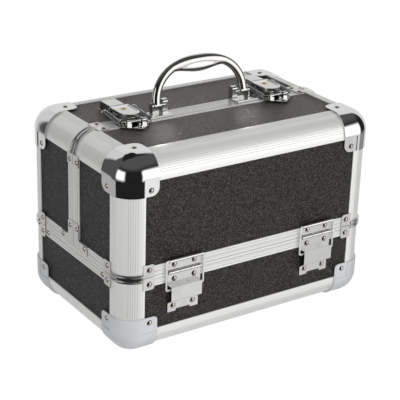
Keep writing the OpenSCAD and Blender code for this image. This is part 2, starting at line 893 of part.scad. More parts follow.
// Base plate with side rails, the lever's pin and the strap behind it
module latch_base() {
    plate_x = rail_x + rail_t + 1.5;
    plate_back = lever_pin_y + lever_back_r + 2;
    translate([-plate_x, half_gap + 0.5, case_h])
        cube([2 * plate_x, plate_back - half_gap - 0.5, latch_plate_t]);
    for (side = SIDES) on_side(side) {
        translate([-rail_x - rail_t, rail_front, case_h + past]) {
            cube([rail_t, lever_pin_y - rail_front, lever_pin_z - case_h]);
            translate([0, lever_pin_y - rail_front, lever_pin_z - case_h - past])
                rotate([0, 90, 0]) cylinder(r = 3.6, h = rail_t);
            translate([0, lever_pin_y - rail_front - 3.6, 0])
                cube([rail_t, 7.2, lever_pin_z - case_h]);
        }
    }
    translate([0, lever_pin_y, lever_pin_z]) rotate([0, 90, 0]) {
        cylinder(r = lever_pin_r, h = 2 * (spring_x + 2.4), center = true);
        for (end = [-1, 1]) translate([0, 0, end * (spring_x + 2.9)]) sphere(2.3);
    }
    // Strap: rises from the panel to the lever's heel
    translate([strap_w / 2, plate_back - latch_plate_t, case_h]) rotate([90, 0, -90])
        mirror([1, 0, 0]) linear_extrude(strap_w) strap_profile(lever_top - 0.6);
}

// Side view of the strap: x runs back from the lever, y runs up from the base plate
module strap_profile(top) {
    t = latch_plate_t;
    foot = 5;
    difference() {
        square([strap_len, top]);
        translate([t, -past]) square([strap_len - 2 * t, top - t + past]);
        translate([strap_len - t, top - t]) difference() {
            square(t + past);
            circle(t);
        }
    }
    // The rear leg and its foot stand on the panel, which lies below the frame's face
    translate([strap_len - t, -frame_t]) square([t, frame_t + past]);
    translate([strap_len - t, -frame_t]) square([foot, t]);
}

// Draw bail: wire side arms with eyes on the lever's pin and a crossbar under the lever
module draw_bail() {
    eye_t = 2.4;
    color("gainsboro") {
        for (side = SIDES) on_side(side) {
            translate([-spring_x, lever_pin_y, lever_pin_z])
                tube_x(eye_t, bail_eye_r, lever_pin_r + pin_clear);
            bail_arm();
        }
        translate([0, bail_bar_y, bail_z]) rotate([0, 90, 0])
            cylinder(r = wire_r, h = 2 * spring_x, center = true);
    }
}

// One side arm, from the crossbar up to the pin
module bail_arm() {
    translate([-spring_x, bail_bar_y, bail_z]) {
        sphere(wire_r);
        rotate([bail_rise - 90, 0, 0]) cylinder(r = wire_r, h = bail_len - bail_eye_r + 0.4);
    }
}

// One turn point of the spring, at t from 0 to 1
function coil_at(t, turns, len, r) = [
    r * cos(360 * turns * t), r * sin(360 * turns * t), len * t
];

// Helical spring along Z, swept as a tube with a small section
module coil(len, r, wire, turns) {
    per_turn = 12;
    sides = 6;
    n = turns * per_turn;
    ring = [for (i = [0 : n]) let (
        a = 360 * turns * i / n,
        out = [cos(a), sin(a), 0],
        c = coil_at(i / n, turns, len, r))
        for (k = [0 : sides - 1]) let (b = 360 * k / sides)
            c + wire * (cos(b) * out + sin(b) * [0, 0, 1])];
    walls = [for (i = [0 : n - 1]) for (k = [0 : sides - 1]) let (
        a = i * sides + k,
        b = i * sides + (k + 1) % sides)
        [a, b, b + sides, a + sides]];
    polyhedron(
        points = ring,
        faces = concat(
            [[for (k = [sides - 1 : -1 : 0]) k]],
            walls,
            [[for (k = [0 : sides - 1]) n * sides + k]]),
        convexity = 8);
}

module draw_springs() {
    start = 3.2;
    color("silver") for (side = SIDES)
        translate([side * spring_x, bail_bar_y, bail_z]) rotate([bail_rise - 90, 0, 0])
            translate([0, 0, start])
                coil(spring_len - 2 * spring_wire_r, spring_r - spring_wire_r, spring_wire_r, 9);
}

// Catch plate on the front half: a riveted plate with two hooks and the bar they carry
module catch_plate() {
    translate([0, 0, case_h]) linear_extrude(corner_t) catch_outline();
    for (x = hook_x * SIDES) translate([x - hook_w / 2, 0, case_h]) rotate([90, 0, 90])
        linear_extrude(hook_w) hook_outline();
    translate([0, -catch_side - 2, case_h + hook_h - hook_nose_r]) rotate([0, 90, 0])
        cylinder(r = wire_r, h = 2 * hook_x + hook_w + 4, center = true);
    for (at = [[-catch_ear_x, -catch_side], [catch_ear_x, -catch_side], [0, -catch_front]])
        translate([at[0], at[1], case_h + corner_t]) rivet();
}

// Plan of the catch plate: a strip along the seam with an ear at each side and one in front
module catch_outline() {
    left = [-catch_ear_x, -catch_side];
    right = [catch_ear_x, -catch_side];
    front = [0, -catch_front];
    r = rivet_r + 1.6;
    strip(left, right, r);
    strip(left, front, r);
    strip(right, front, r);
    polygon([left, front, right]);
    translate([-catch_ear_x - r, -catch_side]) square([2 * (catch_ear_x + r), catch_side - sweep_clear]);
}

// Side view of a hook, inside the arc that the lever's lip leaves free
module hook_outline() {
    y = -catch_side - 2;
    intersection() {
        union() {
            translate([y, hook_h - hook_nose_r]) circle(hook_nose_r);
            translate([y - hook_nose_r, 0]) square([hook_nose_r + 1, hook_h - hook_nose_r]);
            translate([y, 0]) square([6, corner_t + 1]);
        }
        translate([-axis_y, axis_z - case_h]) circle(catch_sweep_r - 0.2, $fn = 180);
    }
}

module latch_catches() {
    color("gainsboro") for (x = latch_x * SIDES) translate([x, 0, 0]) catch_plate();
}

module latch_bases() {
    color("gainsboro") for (side = SIDES) translate([side * latch_x, 0, 0]) latch_base();
}

// ---------------------------------------------------------------- handle

// Signed power, which squares off a circle's sine and cosine
function spow(v, e) = sign(v) * pow(abs(v), e);

// Centre line of the bow at an angle from 0 to 180, left foot to right foot, in its own plane
function bow_at(a) = [-leg_x * spow(cos(a), 2 / bow_square), bow_h * spow(sin(a), 2 / bow_square)];

// Depth of the finger swell at a distance from the middle of the bow
function swell_at(x) = abs(x) < swell_x ? swell_h * cos(90 * x / swell_x) : 0;

// Point of the bow's section: along the bow's outward normal, and across it.
// The section is waisted where the swell joins the bow.
function bow_point(a, b) = let (
    c = bow_at(a),
    ahead = bow_at(min(a + 0.5, 180)) - bow_at(max(a - 0.5, 0)),
    n = [-ahead[1], ahead[0]] / norm(ahead),
    swell = swell_at(c[0]),
    out = -swell / 2 + (bow_w + swell) / 2 * spow(cos(b), 0.9),
    waist = 0.22 * swell / swell_h * exp(-pow((out + bow_w / 2) / 1.6, 2)),
    across = bow_t / 2 * (1 + 0.25 * swell / swell_h) * spow(sin(b), 0.9) * (1 - waist))
    [c[0] + n[0] * out, across, c[1] + n[1] * out];

// Bow swept from one pivot to the other
module bow() {
    stations = 64;
    sides = 22;
    // Angles are closer together where the arch turns out of the legs
    angles = [for (i = [0 : stations]) let (u = i / stations) 180 * (u - sin(720 * u) / 60)];
    points = [for (a = angles) for (k = [0 : sides - 1]) bow_point(a, 360 * k / sides)];
    walls = [for (i = [0 : stations - 1]) for (k = [0 : sides - 1]) let (
        p = i * sides + k,
        q = i * sides + (k + 1) % sides) each [[p, q, p + sides], [q, q + sides, p + sides]]];
    polyhedron(
        points = points,
        faces = concat(
            [[for (k = [sides - 1 : -1 : 0]) k]],
            walls,
            [[for (k = [0 : sides - 1]) stations * sides + k]]),
        convexity = 6);
}

// Bow with an eye at the foot of each leg, leaning back on its pivot
module handle() {
    color("white") translate([0, pivot_back, pivot_z]) rotate([-handle_lean, 0, 0])
        difference() {
            union() {
                bow();
                both_ends() translate([-leg_x, 0, 0]) tube_x(eye_w, eye_r, handle_pin_r + pin_clear);
            }
            rotate([0, 90, 0]) cylinder(
                r = handle_pin_r + pin_clear, h = 2 * leg_x + 2 * bow_w, center = true);
        }
}

// Brackets on the rear half's rim: plate, inner post, low outer ear and pin for each leg
module handle_brackets() {
    round_r = 3;
    ear_t = 1.8;
    ear_x = leg_x + eye_w / 2 + ear_gap;
    post_d = rim_w + half_gap - post_y;
    color("silver") both_ends() {
        translate([-post_x - mount_l, half_gap + 0.3, case_h])
            cube([mount_l, rim_w - 0.3, mount_t]);
        translate([-post_x - post_w, post_y, case_h]) {
            cube([post_w, post_d, post_up - round_r]);
            translate([0, round_r, 0]) cube([post_w, post_d - 2 * round_r, post_up]);
            for (y = [round_r, post_d - round_r]) translate([0, y, post_up - round_r])
                rotate([0, 90, 0]) cylinder(r = round_r, h = post_w);
        }
        translate([-ear_x - ear_t, pivot_back, pivot_z]) rotate([0, 90, 0])
            cylinder(r = ear_r, h = ear_t);
        translate([-ear_x - ear_t, pivot_back - ear_r, case_h])
            cube([ear_t, 2 * ear_r, pivot_up]);
        translate([-ear_x - ear_t, pivot_back, pivot_z]) rotate([0, 90, 0])
            cylinder(r = handle_pin_r, h = ear_x + ear_t - post_x - post_w / 2);
    }
}

// Pads on the front half's rim, level with the handle's brackets across the seam
module handle_pads() {
    pad_d = 8.5;
    step = 1.4;
    color("silver") both_ends() translate([-post_x - mount_l, -half_gap - 0.3, case_h]) {
        translate([0, -pad_d, 0]) cube([mount_l, pad_d, mount_t]);
        translate([0, -pad_d + step, 0]) cube([mount_l, pad_d - step, mount_t + 0.9]);
    }
}

// ---------------------------------------------------------------- trays and arms (front)

// Position of an arm's foot: outer or inner arm of the front half
function arm_foot(inner) = [0, -arm_foot_y + (inner ? arm_gap : 0), arm_foot_z];

// Pair of arms, one at each end, leaning towards the middle of the case
module arms(inner) {
    color("silver") both_ends() translate([-arm_x - arm_t, 0, 0] + arm_foot(inner))
        rotate([-arm_lean, 0, 0]) difference() {
            union() {
                translate([0, -arm_w / 2, 0]) cube([arm_t, arm_w, arm_end]);
                for (z = [0, arm_end]) translate([0, 0, z]) rotate([0, 90, 0])
                    cylinder(r = arm_w / 2, h = arm_t);
            }
            for (z = [0, arm_low, arm_end]) translate([-past, 0, z]) rotate([0, 90, 0])
                cylinder(r = pin_hole_r, h = arm_t + 2 * past);
        }
}

// Pivot of a tray on an arm, in the shut case
function tray_pivot(up, inner) = let (r = up ? arm_end : arm_low)
    arm_foot(inner) + [0, r * sin(arm_lean), r * cos(arm_lean)];

// Open tray with two dividers, rounded rim and the pins that its arms turn on
module tray(up) {
    p = tray_pivot(up, false);
    y0 = p[1] - tray_lap;
    z0 = p[2] - tray_pin_up;
    rim = 1.6;
    cells = 3;
    cell = (tray_l - tray_t) / cells;
    color("dimgrey") {
        difference() {
            translate([-tray_l / 2, y0, z0]) cube([tray_l, tray_w, tray_h]);
            for (i = [0 : cells - 1])
                translate([-tray_l / 2 + tray_t + i * cell, y0 + tray_t, z0 + tray_t])
                    cube([cell - tray_t, tray_w - 2 * tray_t, tray_h]);
            // Dividers stand lower than the rim
            translate([-tray_l / 2 + tray_t, y0 + tray_t, z0 + tray_h - 5])
                cube([tray_l - 2 * tray_t, tray_w - 2 * tray_t, 6]);
        }
        both_ends() for (inner = [false, true])
            translate([-arm_x - arm_t - rim, 0, 0] + tray_pivot(up, inner))
                rotate([0, 90, 0]) {
                    cylinder(r = tray_pin_r, h = arm_x + arm_t + rim - tray_l / 2);
                    translate([0, 0, arm_t + rim + 0.3])
                        cylinder(r = tray_pin_r + 1.5, h = arm_x - tray_l / 2 - 0.3);
                }
    }
}

// Plate on the base's end wall with the pins of the arms' feet, both ends and both halves
module tray_pivot_plates() {
    plate_t = 1.6;
    plate_h = 22;
    margin = 8;
    wall_x = half_l - slot_back - frame_t;
    color("grey") front_and_rear() both_ends() {
        translate([-wall_x, -arm_foot_y - margin, arm_foot_z + arm_w / 2 - plate_h])
            cube([plate_t, arm_gap + 2 * margin, plate_h]);
        for (inner = [false, true]) {
            translate([-wall_x, 0, 0] + arm_foot(inner)) rotate([0, 90, 0]) {
                cylinder(r = tray_pin_r, h = wall_x - arm_x + 1.5);
                cylinder(r = tray_pin_r + 2.4, h = wall_x - arm_x - arm_t - 0.4);
            }
        }
    }
}

// ---------------------------------------------------------------- output

base_face_panel();  // base_front_panel
to_rear() base_face_panel();  // base_rear_panel
on_side(LEFT) base_end_panel();  // base_left_panel
on_side(RIGHT) base_end_panel();  // base_right_panel
base_floor();
base_corner_profiles();
base_bottom_rails();
base_rim();
base_corners();
base_seam_brackets();
base_rivets();
base_hinge_leaves();
stay_channels();
hinge_pins();
tray_pivot_plates();
shell_face_panel();  // front_face_panel
shell_top_panel();  // front_top_panel
on_side(LEFT) shell_end_panel();  // front_left_panel
on_side(RIGHT) shell_end_panel();  // front_right_panel
half_profiles();  // front_profiles
half_rim();  // front_rim
half_ball_corners();  // front_ball_corners
half_brackets();  // front_brackets
half_rivets();  // front_rivets
half_hinge_leaves();  // front_hinge_leaves
latch_catches();
handle_pads();
to_rear() shell_face_panel();  // rear_face_panel
to_rear() shell_top_panel();  // rear_top_panel
to_rear() on_side(LEFT) shell_end_panel();  // rear_left_panel
to_rear() on_side(RIGHT) shell_end_panel();  // rear_right_panel
to_rear() half_profiles();  // rear_profiles
to_rear() half_rim();  // rear_rim
to_rear() half_ball_corners();  // rear_ball_corners
to_rear() half_brackets();  // rear_brackets
to_rear() half_rivets();  // rear_rivets
to_rear() half_hinge_leaves();  // rear_hinge_leaves
latch_bases();
handle_brackets();
handle();
translate([-hinge_x, 0, 0]) stay();  // front_left_stay
translate([hinge_x, 0, 0]) stay();  // front_right_stay
to_rear() translate([-hinge_x, 0, 0]) stay();  // rear_left_stay
to_rear() translate([hinge_x, 0, 0]) stay();  // rear_right_stay
translate([-latch_x, 0, 0]) lever();  // left_lever
translate([latch_x, 0, 0]) lever();  // right_lever
translate([-latch_x, 0, 0]) draw_bail();  // left_draw_bail
translate([latch_x, 0, 0]) draw_bail();  // right_draw_bail
translate([-latch_x, 0, 0]) draw_springs();  // left_draw_springs
translate([latch_x, 0, 0]) draw_springs();  // right_draw_springs
translate([-latch_x, 0, 0]) key_barrel();  // left_key_barrel
translate([latch_x, 0, 0]) key_barrel();  // right_key_barrel
arms(false);  // front_outer_arms
arms(true);  // front_inner_arms
to_rear() arms(false);  // rear_outer_arms
to_rear() arms(true);  // rear_inner_arms
tray(false);  // front_lower_tray
tray(true);  // front_upper_tray
to_rear() tray(false);  // rear_lower_tray
to_rear() tray(true);  // rear_upper_tray
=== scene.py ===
"""Dresses the makeup train case: grained covering, satin extrusions, bright fittings, draw springs."""
import json
import math

import bpy
import numpy as np
from mathutils import Matrix, Vector


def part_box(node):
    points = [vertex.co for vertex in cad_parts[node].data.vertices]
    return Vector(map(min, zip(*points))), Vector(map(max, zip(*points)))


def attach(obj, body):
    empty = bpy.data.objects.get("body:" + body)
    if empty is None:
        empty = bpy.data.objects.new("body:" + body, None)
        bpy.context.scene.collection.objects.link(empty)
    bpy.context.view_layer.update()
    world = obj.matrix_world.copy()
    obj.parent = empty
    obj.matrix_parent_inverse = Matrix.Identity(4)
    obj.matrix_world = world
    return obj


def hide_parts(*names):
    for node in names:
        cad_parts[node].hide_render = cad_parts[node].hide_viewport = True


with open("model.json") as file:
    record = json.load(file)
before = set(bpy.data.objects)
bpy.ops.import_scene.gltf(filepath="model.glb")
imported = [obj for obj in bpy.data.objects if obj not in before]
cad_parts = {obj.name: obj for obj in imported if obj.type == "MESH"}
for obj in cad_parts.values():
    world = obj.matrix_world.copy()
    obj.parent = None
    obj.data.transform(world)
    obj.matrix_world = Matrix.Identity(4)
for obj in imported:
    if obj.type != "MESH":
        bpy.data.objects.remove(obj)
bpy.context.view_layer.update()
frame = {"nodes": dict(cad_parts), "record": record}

bl_info = {
    "name": "Makeup train case",
    "version": (1, 0, 0),
    "blender": (4, 5, 0),
    "location": "View3D > Sidebar > Train case",
    "description": "Finishes, draw springs, handle and stage of an aluminium-framed makeup train case",
    "category": "Object",
}

SIDES = {"left": -1.0, "right": 1.0}

# Half the length and depth over the extrusions, the reach of an extrusion's leg and the height of the lid
RAILS_LOW, RAILS_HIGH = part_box("base_bottom_rails")
HALF_L = RAILS_HIGH.x
HALF_D = RAILS_HIGH.y
EDGE_LEG = RAILS_HIGH.z - RAILS_LOW.z
TOP_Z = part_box("front_profiles")[1].z
MIDDLE_Z = TOP_Z / 2

# Reach of a ball corner's rounding from its mouth to the case's face
BALL_REACH = 0.041

# The strips over the seam between the lid's halves: half their width, and a height below them all
STRIP_HALF = 0.0168
STRIP_LOW = 0.1

# Bands of lines on an extrusion, by the distance round its section, and how softly a band ends
LINE_BANDS = ((-0.020, -0.003), (0.016, 0.025))
BAND_EDGE = 0.0005

# A length that is added to a limit, so that a surface right at the limit counts as inside it
HAIR = 0.00001

# Painted shade: shares of a covering's colour in its creases, and of an extrusion's colour in its grooves
CREASE_SHADE_SHARE = 0.25
GROOVE_SHADE_SHARE = 0.70

# Dull lining on the inner side of the panels: two shades, roughness and share of the covering's relief
LINING_DARK = (0.022, 0.021, 0.022)
LINING_LIGHT = (0.034, 0.032, 0.033)
LINING_ROUGHNESS = 0.85
LINING_RELIEF = 0.2

# Heights of a draw spring's ends: the rear below the bail's top, and the front above the bail's foot
SPRING_REAR_DROP = 0.003
SPRING_FRONT_RISE = 0.0028

# Handle: power of the section's sine and cosine, where 1 is an ellipse, share by which the swell is
# thicker, depth of the waist as a share of the thickness, reach of the waist, and rounding of the eyes
SECTION_POWER = 0.9
SWELL_THICKER = 0.25
WAIST_SHARE = 0.16
WAIST_REACH = 0.0030
EYE_ROUND = 0.0008

# Camera's sensor in millimetres, and the nearest and farthest distance that it sees
SENSOR_WIDTH = 36.0
CLIP_NEAR = 0.05
CLIP_FAR = 50.0

# Lamps: the large light in front, and the weaker one at the left with its share of the first one's power
KEY_PLACE = (-0.25, -1.35, 0.6)
KEY_AIM = (0.0, 0.0, 0.15)
KEY_SIZE = 1.1
FILL_PLACE = (-1.5, -0.3, 0.25)
FILL_AIM = (0.0, 0.0, 0.12)
FILL_SIZE = 1.0
FILL_SHARE = 0.3

# Light that a polished leg of the handle throws onto the lid: depth and height of its start and of its
# aim, how far the aim lies to the right of the leg, width of the cone and radius of the source
GLOW_START = (-0.004, 0.288)
GLOW_AIM = (-0.040, TOP_Z)
GLOW_SHIFT = -0.020
GLOW_CONE = math.radians(52.0)
GLOW_RADIUS = 0.004

# Floor: half its width, its colour as the case sees it, and the colour and glow that keep it white
FLOOR_HALF = 6.0
FLOOR_PLAIN = (0.7, 0.7, 0.7)
FLOOR_SHADOW = (0.20, 0.20, 0.20)
FLOOR_GLOW = 0.93

# Nodes whose finish differs from the one that their material slot names
OWN_FINISH = {
    "front_ball_corners": "ball",
    "rear_ball_corners": "ball",
    "handle": "bow",
    "front_left_stay": "stay",
    "front_right_stay": "stay",
    "rear_left_stay": "stay",
    "rear_right_stay": "stay",
}

# The shader groups by name, filled by the operator of the finishes
GROUPS = {}

# The studio in glossy surfaces. Each window has its left, right, low and high edge in degrees, from the
# front round to the right and from level upwards, the softness of its edges in degrees and its brightness
STUDIO = (
    (98.0, 200.0, -100.0, 58.0, 3.0, 0.78),  # backdrop, right
    (-200.0, -151.0, -100.0, 54.0, 3.0, 0.70),  # backdrop, left
    (-160.0, -104.0, -100.0, -14.0, 3.0, 0.45),  # table, left
    (-160.0, -101.0, -14.0, 56.0, 3.0, 0.09),  # dim wall, left
    (-110.0, 104.0, 36.0, 110.0, 14.0, 0.09),  # dim ceiling
    (-101.0, -63.0, -9.0, 26.0, 6.0, 1.35),  # soft box, left
    (15.0, 60.0, -13.0, 27.0, 7.0, 1.65),  # soft box, right
    (26.0, 40.0, -75.0, -12.0, 2.0, 0.95),  # table under the right soft box, left part
    (40.0, 60.0, -75.0, -12.0, 2.0, 0.74),  # table under the right soft box, right part
    (-20.0, 26.0, -75.0, -38.0, 4.0, 0.65),  # table in front
    (60.0, 98.0, -75.0, -34.0, 4.0, 0.45),  # table, right
    (55.0, 98.0, -60.0, -10.0, 6.0, 0.28),  # edge of the table, right
)


# ---------------------------------------------------------------- sizes and colours


def tone(name, description, value):
    """Setting that holds one colour."""
    return bpy.props.FloatVectorProperty(
        name=name, description=description, subtype="COLOR", size=3, min=0.0, max=1.0, default=value)


class FinishSettings(bpy.types.PropertyGroup):
    """Colours and grain sizes of the case's finishes."""

    covering_face: tone(
        "Front covering", "Covering of the front, the rear and the floor", (0.0152, 0.0137, 0.0119))
    # Lighter copy of the front's covering: painted light for the sheen that the lid shows
    covering_top_lit: tone("Lit top covering", "Covering of the lid's panels", (0.066, 0.057, 0.049))
    # Darker copy of the front's covering: painted shade on the ends
    covering_end_shaded: tone("Shaded end covering", "Covering of the end panels", (0.0140, 0.0132, 0.0135))
    aluminium: tone("Extrusions", "Satin extrusions and wire of the stays", (0.80, 0.795, 0.78))
    rim: tone("Rims", "Ribbed rim extrusions along the seams", (0.76, 0.755, 0.74))
    chrome: tone("Chrome", "Ball corners and draw bails", (0.82, 0.82, 0.82))
    # Darker copy of the chrome: painted shade for the handle's dimmer reflections
    bow: tone("Shaded handle chrome", "Plated handle", (0.62, 0.61, 0.595))
    nickel: tone("Nickel", "Stamped brackets, hinges and latches", (0.74, 0.735, 0.725))
    satin: tone("Satin corners", "Lower corners", (0.60, 0.61, 0.63))
    steel: tone("Rivets", "Domed rivets and hinge pins", (0.66, 0.58, 0.51))
    spring: tone("Springs", "Wire of the draw springs", (0.50, 0.51, 0.53))
    brass: tone("Brass", "Key barrels", (0.72, 0.47, 0.12))
    zinc: tone("Arms", "Tray arms and their plates", (0.58, 0.585, 0.60))
    plastic: tone("Trays", "Moulded trays", (0.035, 0.035, 0.038))
    pebble: bpy.props.FloatProperty(
        name="Pebble size", description="Width of one pebble of the covering on the lid and the ends",
        subtype="DISTANCE", unit="LENGTH", default=0.0017, min=0.0005, max=0.004)
    face_pebble: bpy.props.FloatProperty(
        name="Front pebbles", description="Share of that width on the front, the rear and the floor",
        default=0.75, min=0.25, max=2.0)
    line_pitch: bpy.props.FloatProperty(
        name="Line pitch", description="Distance between the fine lines along the extrusions",
        subtype="DISTANCE", unit="LENGTH", default=0.0037, min=0.0005, max=0.005)
    rim_pitch: bpy.props.FloatProperty(
        name="Rim lines", description="Distance of the lines on the ribbed rims, as a share of that pitch",
        default=1.35, min=0.25, max=4.0)


class SpringSettings(bpy.types.PropertyGroup):
    """Sizes of the draw springs beside each locking lever."""

    out: bpy.props.FloatProperty(
        name="Distance", description="Distance of a spring from the latch's middle",
        subtype="DISTANCE", unit="LENGTH", default=0.020)
    coil: bpy.props.FloatProperty(
        name="Coil radius", description="Radius of the coil's centre line",
        subtype="DISTANCE", unit="LENGTH", default=0.0025)
    wire: bpy.props.FloatProperty(
        name="Wire radius", description="Radius of the spring's wire",
        subtype="DISTANCE", unit="LENGTH", default=0.0007)
    turns: bpy.props.IntProperty(
        name="Turns", description="Number of turns of each spring", default=15)
    front: bpy.props.FloatProperty(
        name="Front end", description="Depth at which a spring ends over its hook",
        subtype="DISTANCE", unit="LENGTH", default=-0.0125)
    rear: bpy.props.FloatProperty(
        name="Rear end", description="Depth at which a spring starts beside the pin",
        subtype="DISTANCE", unit="LENGTH", default=0.0215)


class BowSettings(bpy.types.PropertyGroup):
    """Sizes of the handle's bow, as on the solid part."""

    leg: bpy.props.FloatProperty(
        name="Leg distance", description="Distance of a leg from the middle",
        subtype="DISTANCE", unit="LENGTH", default=0.0645)
    rise: bpy.props.FloatProperty(
        name="Rise", description="Height of the centre line above the pivot",
        subtype="DISTANCE", unit="LENGTH", default=0.0494)
    square: bpy.props.FloatProperty(
        name="Squareness", description="Power of the bow's curve, where 2 is an ellipse",
        default=2.3, min=2.0, max=3.0)
    width: bpy.props.FloatProperty(
        name="Width", description="Width of the section in the plane of the bow",
        subtype="DISTANCE", unit="LENGTH", default=0.0109)
    thickness: bpy.props.FloatProperty(
        name="Thickness", description="Thickness of the section across that plane",
        subtype="DISTANCE", unit="LENGTH", default=0.0088)
    swell: bpy.props.FloatProperty(
        name="Swell", description="Depth of the finger swell",
        subtype="DISTANCE", unit="LENGTH", default=0.0105)
    swell_reach: bpy.props.FloatProperty(
        name="Swell reach", description="Distance over which the swell runs out",
        subtype="DISTANCE", unit="LENGTH", default=0.038)
    lean: bpy.props.FloatProperty(
        name="Lean", description="Lean towards the rear", subtype="ANGLE", unit="ROTATION",
        default=math.radians(9.3))
    pivot: bpy.props.FloatVectorProperty(
        name="Pivot", description="Middle of the pivot's axis", subtype="XYZ", size=3,
        default=(0.0, 0.0047, 0.262))
    eye: bpy.props.FloatProperty(
        name="Eye radius", description="Radius of the rounded foot",
        subtype="DISTANCE", unit="LENGTH", default=0.0045)
    hole: bpy.props.FloatProperty(
        name="Eye hole", description="Radius of the hole for the pin",
        subtype="DISTANCE", unit="LENGTH", default=0.00228)


class StageSettings(bpy.types.PropertyGroup):
    """Camera, lights and floor."""

    azimuth: bpy.props.FloatProperty(
        name="Azimuth", description="Turn of the camera from the front to the left", subtype="ANGLE",
        default=math.radians(34.388))
    elevation: bpy.props.FloatProperty(
        name="Elevation", description="Height angle of the camera", subtype="ANGLE",
        default=math.radians(22.811))
    roll: bpy.props.FloatProperty(
        name="Roll", description="Roll of the camera", subtype="ANGLE",
        default=math.radians(1.814))
    distance: bpy.props.FloatProperty(
        name="Distance", description="Distance of the camera from its target",
        subtype="DISTANCE", unit="LENGTH", default=1.64698)
    lens: bpy.props.FloatProperty(
        name="Lens", description="Focal length on a 36 mm sensor, in millimetres", default=115.33)
    target: bpy.props.FloatVectorProperty(
        name="Target", description="Point that the camera looks at", subtype="XYZ", size=3,
        default=(0.000948, 0.0, 0.124865))
    world: bpy.props.FloatProperty(
        name="Surroundings", description="Strength of the surrounding light", default=0.92)
    above: bpy.props.FloatProperty(
        name="Above", description="Strength straight above, as a share of the strength at the level",
        default=0.12)
    room: bpy.props.FloatProperty(
        name="Room", description="Brightness of the dark room in glossy surfaces", default=0.016)
    glow: bpy.props.FloatProperty(
        name="Leg glow", description="Power of the light thrown forward by each leg of the handle",
        unit="POWER", default=0.090)
    key: bpy.props.FloatProperty(
        name="Key light", description="Power of the large light in front", unit="POWER", default=17.0)


# ---------------------------------------------------------------- shader building blocks


def link(tree, source, target):
    """Joins an output to an input."""
    tree.links.new(source, target)


def feed(tree, value, socket):
    """Gives a socket another node's output or a value of its own."""
    if isinstance(value, bpy.types.NodeSocket):
        link(tree, value, socket)
    else:
        socket.default_value = value


def math_node(tree, operation, a, b=None, clamp=False):
    """Result of a Math node; a and b are sockets or numbers."""
    node = tree.nodes.new("ShaderNodeMath")
    node.operation = operation
    node.use_clamp = clamp
    feed(tree, a, node.inputs[0])
    if b is not None:
        feed(tree, b, node.inputs[1])
    return node.outputs[0]


def mix_numbers(tree, factor, low, high):
    """Number that goes from low to high with the factor."""
    node = tree.nodes.new("ShaderNodeMix")
    for label, value in (("Factor", factor), ("A", low), ("B", high)):
        feed(tree, value, node.inputs[label])
    return node.outputs[0]


def mix_colours(tree, factor, low, high):
    """Colour that goes from low to high with the factor; each is a socket or three numbers."""
    node = tree.nodes.new("ShaderNodeMix")
    node.data_type = "RGBA"
    feed(tree, factor, node.inputs["Factor"])
    for label, colour in (("A", low), ("B", high)):
        value = colour if isinstance(colour, bpy.types.NodeSocket) else (*colour, 1.0)
        feed(tree, value, node.inputs[label])
    return node.outputs["Result"]


def share_of(colour, share):
    """The colour times the share, no channel above 1."""
    return tuple(min(c * share, 1.0) for c in colour)


def new_group(name, inputs, outputs):
    """Starts a shader group with numbers as inputs {name: default} and numbers as outputs."""
    group = bpy.data.node_groups.new(name, "ShaderNodeTree")
    for label, value in inputs.items():
        socket = group.interface.new_socket(label, in_out="INPUT", socket_type="NodeSocketFloat")
        socket.default_value = value
    for label in outputs:
        group.interface.new_socket(label, in_out="OUTPUT", socket_type="NodeSocketFloat")
    return group, group.nodes.new("NodeGroupInput"), group.nodes.new("NodeGroupOutput")


def remap(tree, value, from_low, from_high, to_low, to_high, smooth=False):
    """Clamped change of range, along a straight line or a smooth step."""
    node = tree.nodes.new("ShaderNodeMapRange")
    node.interpolation_type = "SMOOTHSTEP" if smooth else "LINEAR"
    feed(tree, value, node.inputs["Value"])
    feed(tree, from_low, node.inputs["From Min"])
    feed(tree, from_high, node.inputs["From Max"])
    feed(tree, to_low, node.inputs["To Min"])
    feed(tree, to_high, node.inputs["To Max"])
    return node.outputs[0]


def remap_noise(tree, noise, low, high):
    """Number that goes from low to high over the range that most of a noise keeps to, 0.2 to 0.8."""
    return remap(tree, noise, 0.2, 0.8, low, high)


def object_place(tree):
    """Place of a point in the frame of its object."""
    return tree.nodes.new("ShaderNodeTexCoord").outputs["Object"]


def scaled_texture(tree, kind, place, scale, **settings):
    """Texture node whose Scale is a socket or a number; settings name its properties or its inputs."""
    node = tree.nodes.new(kind)
    for key, value in settings.items():
        if hasattr(node, key):
            setattr(node, key, value)
        else:
            node.inputs[key].default_value = value
    link(tree, place, node.inputs["Vector"])
    feed(tree, scale, node.inputs["Scale"])
    return node


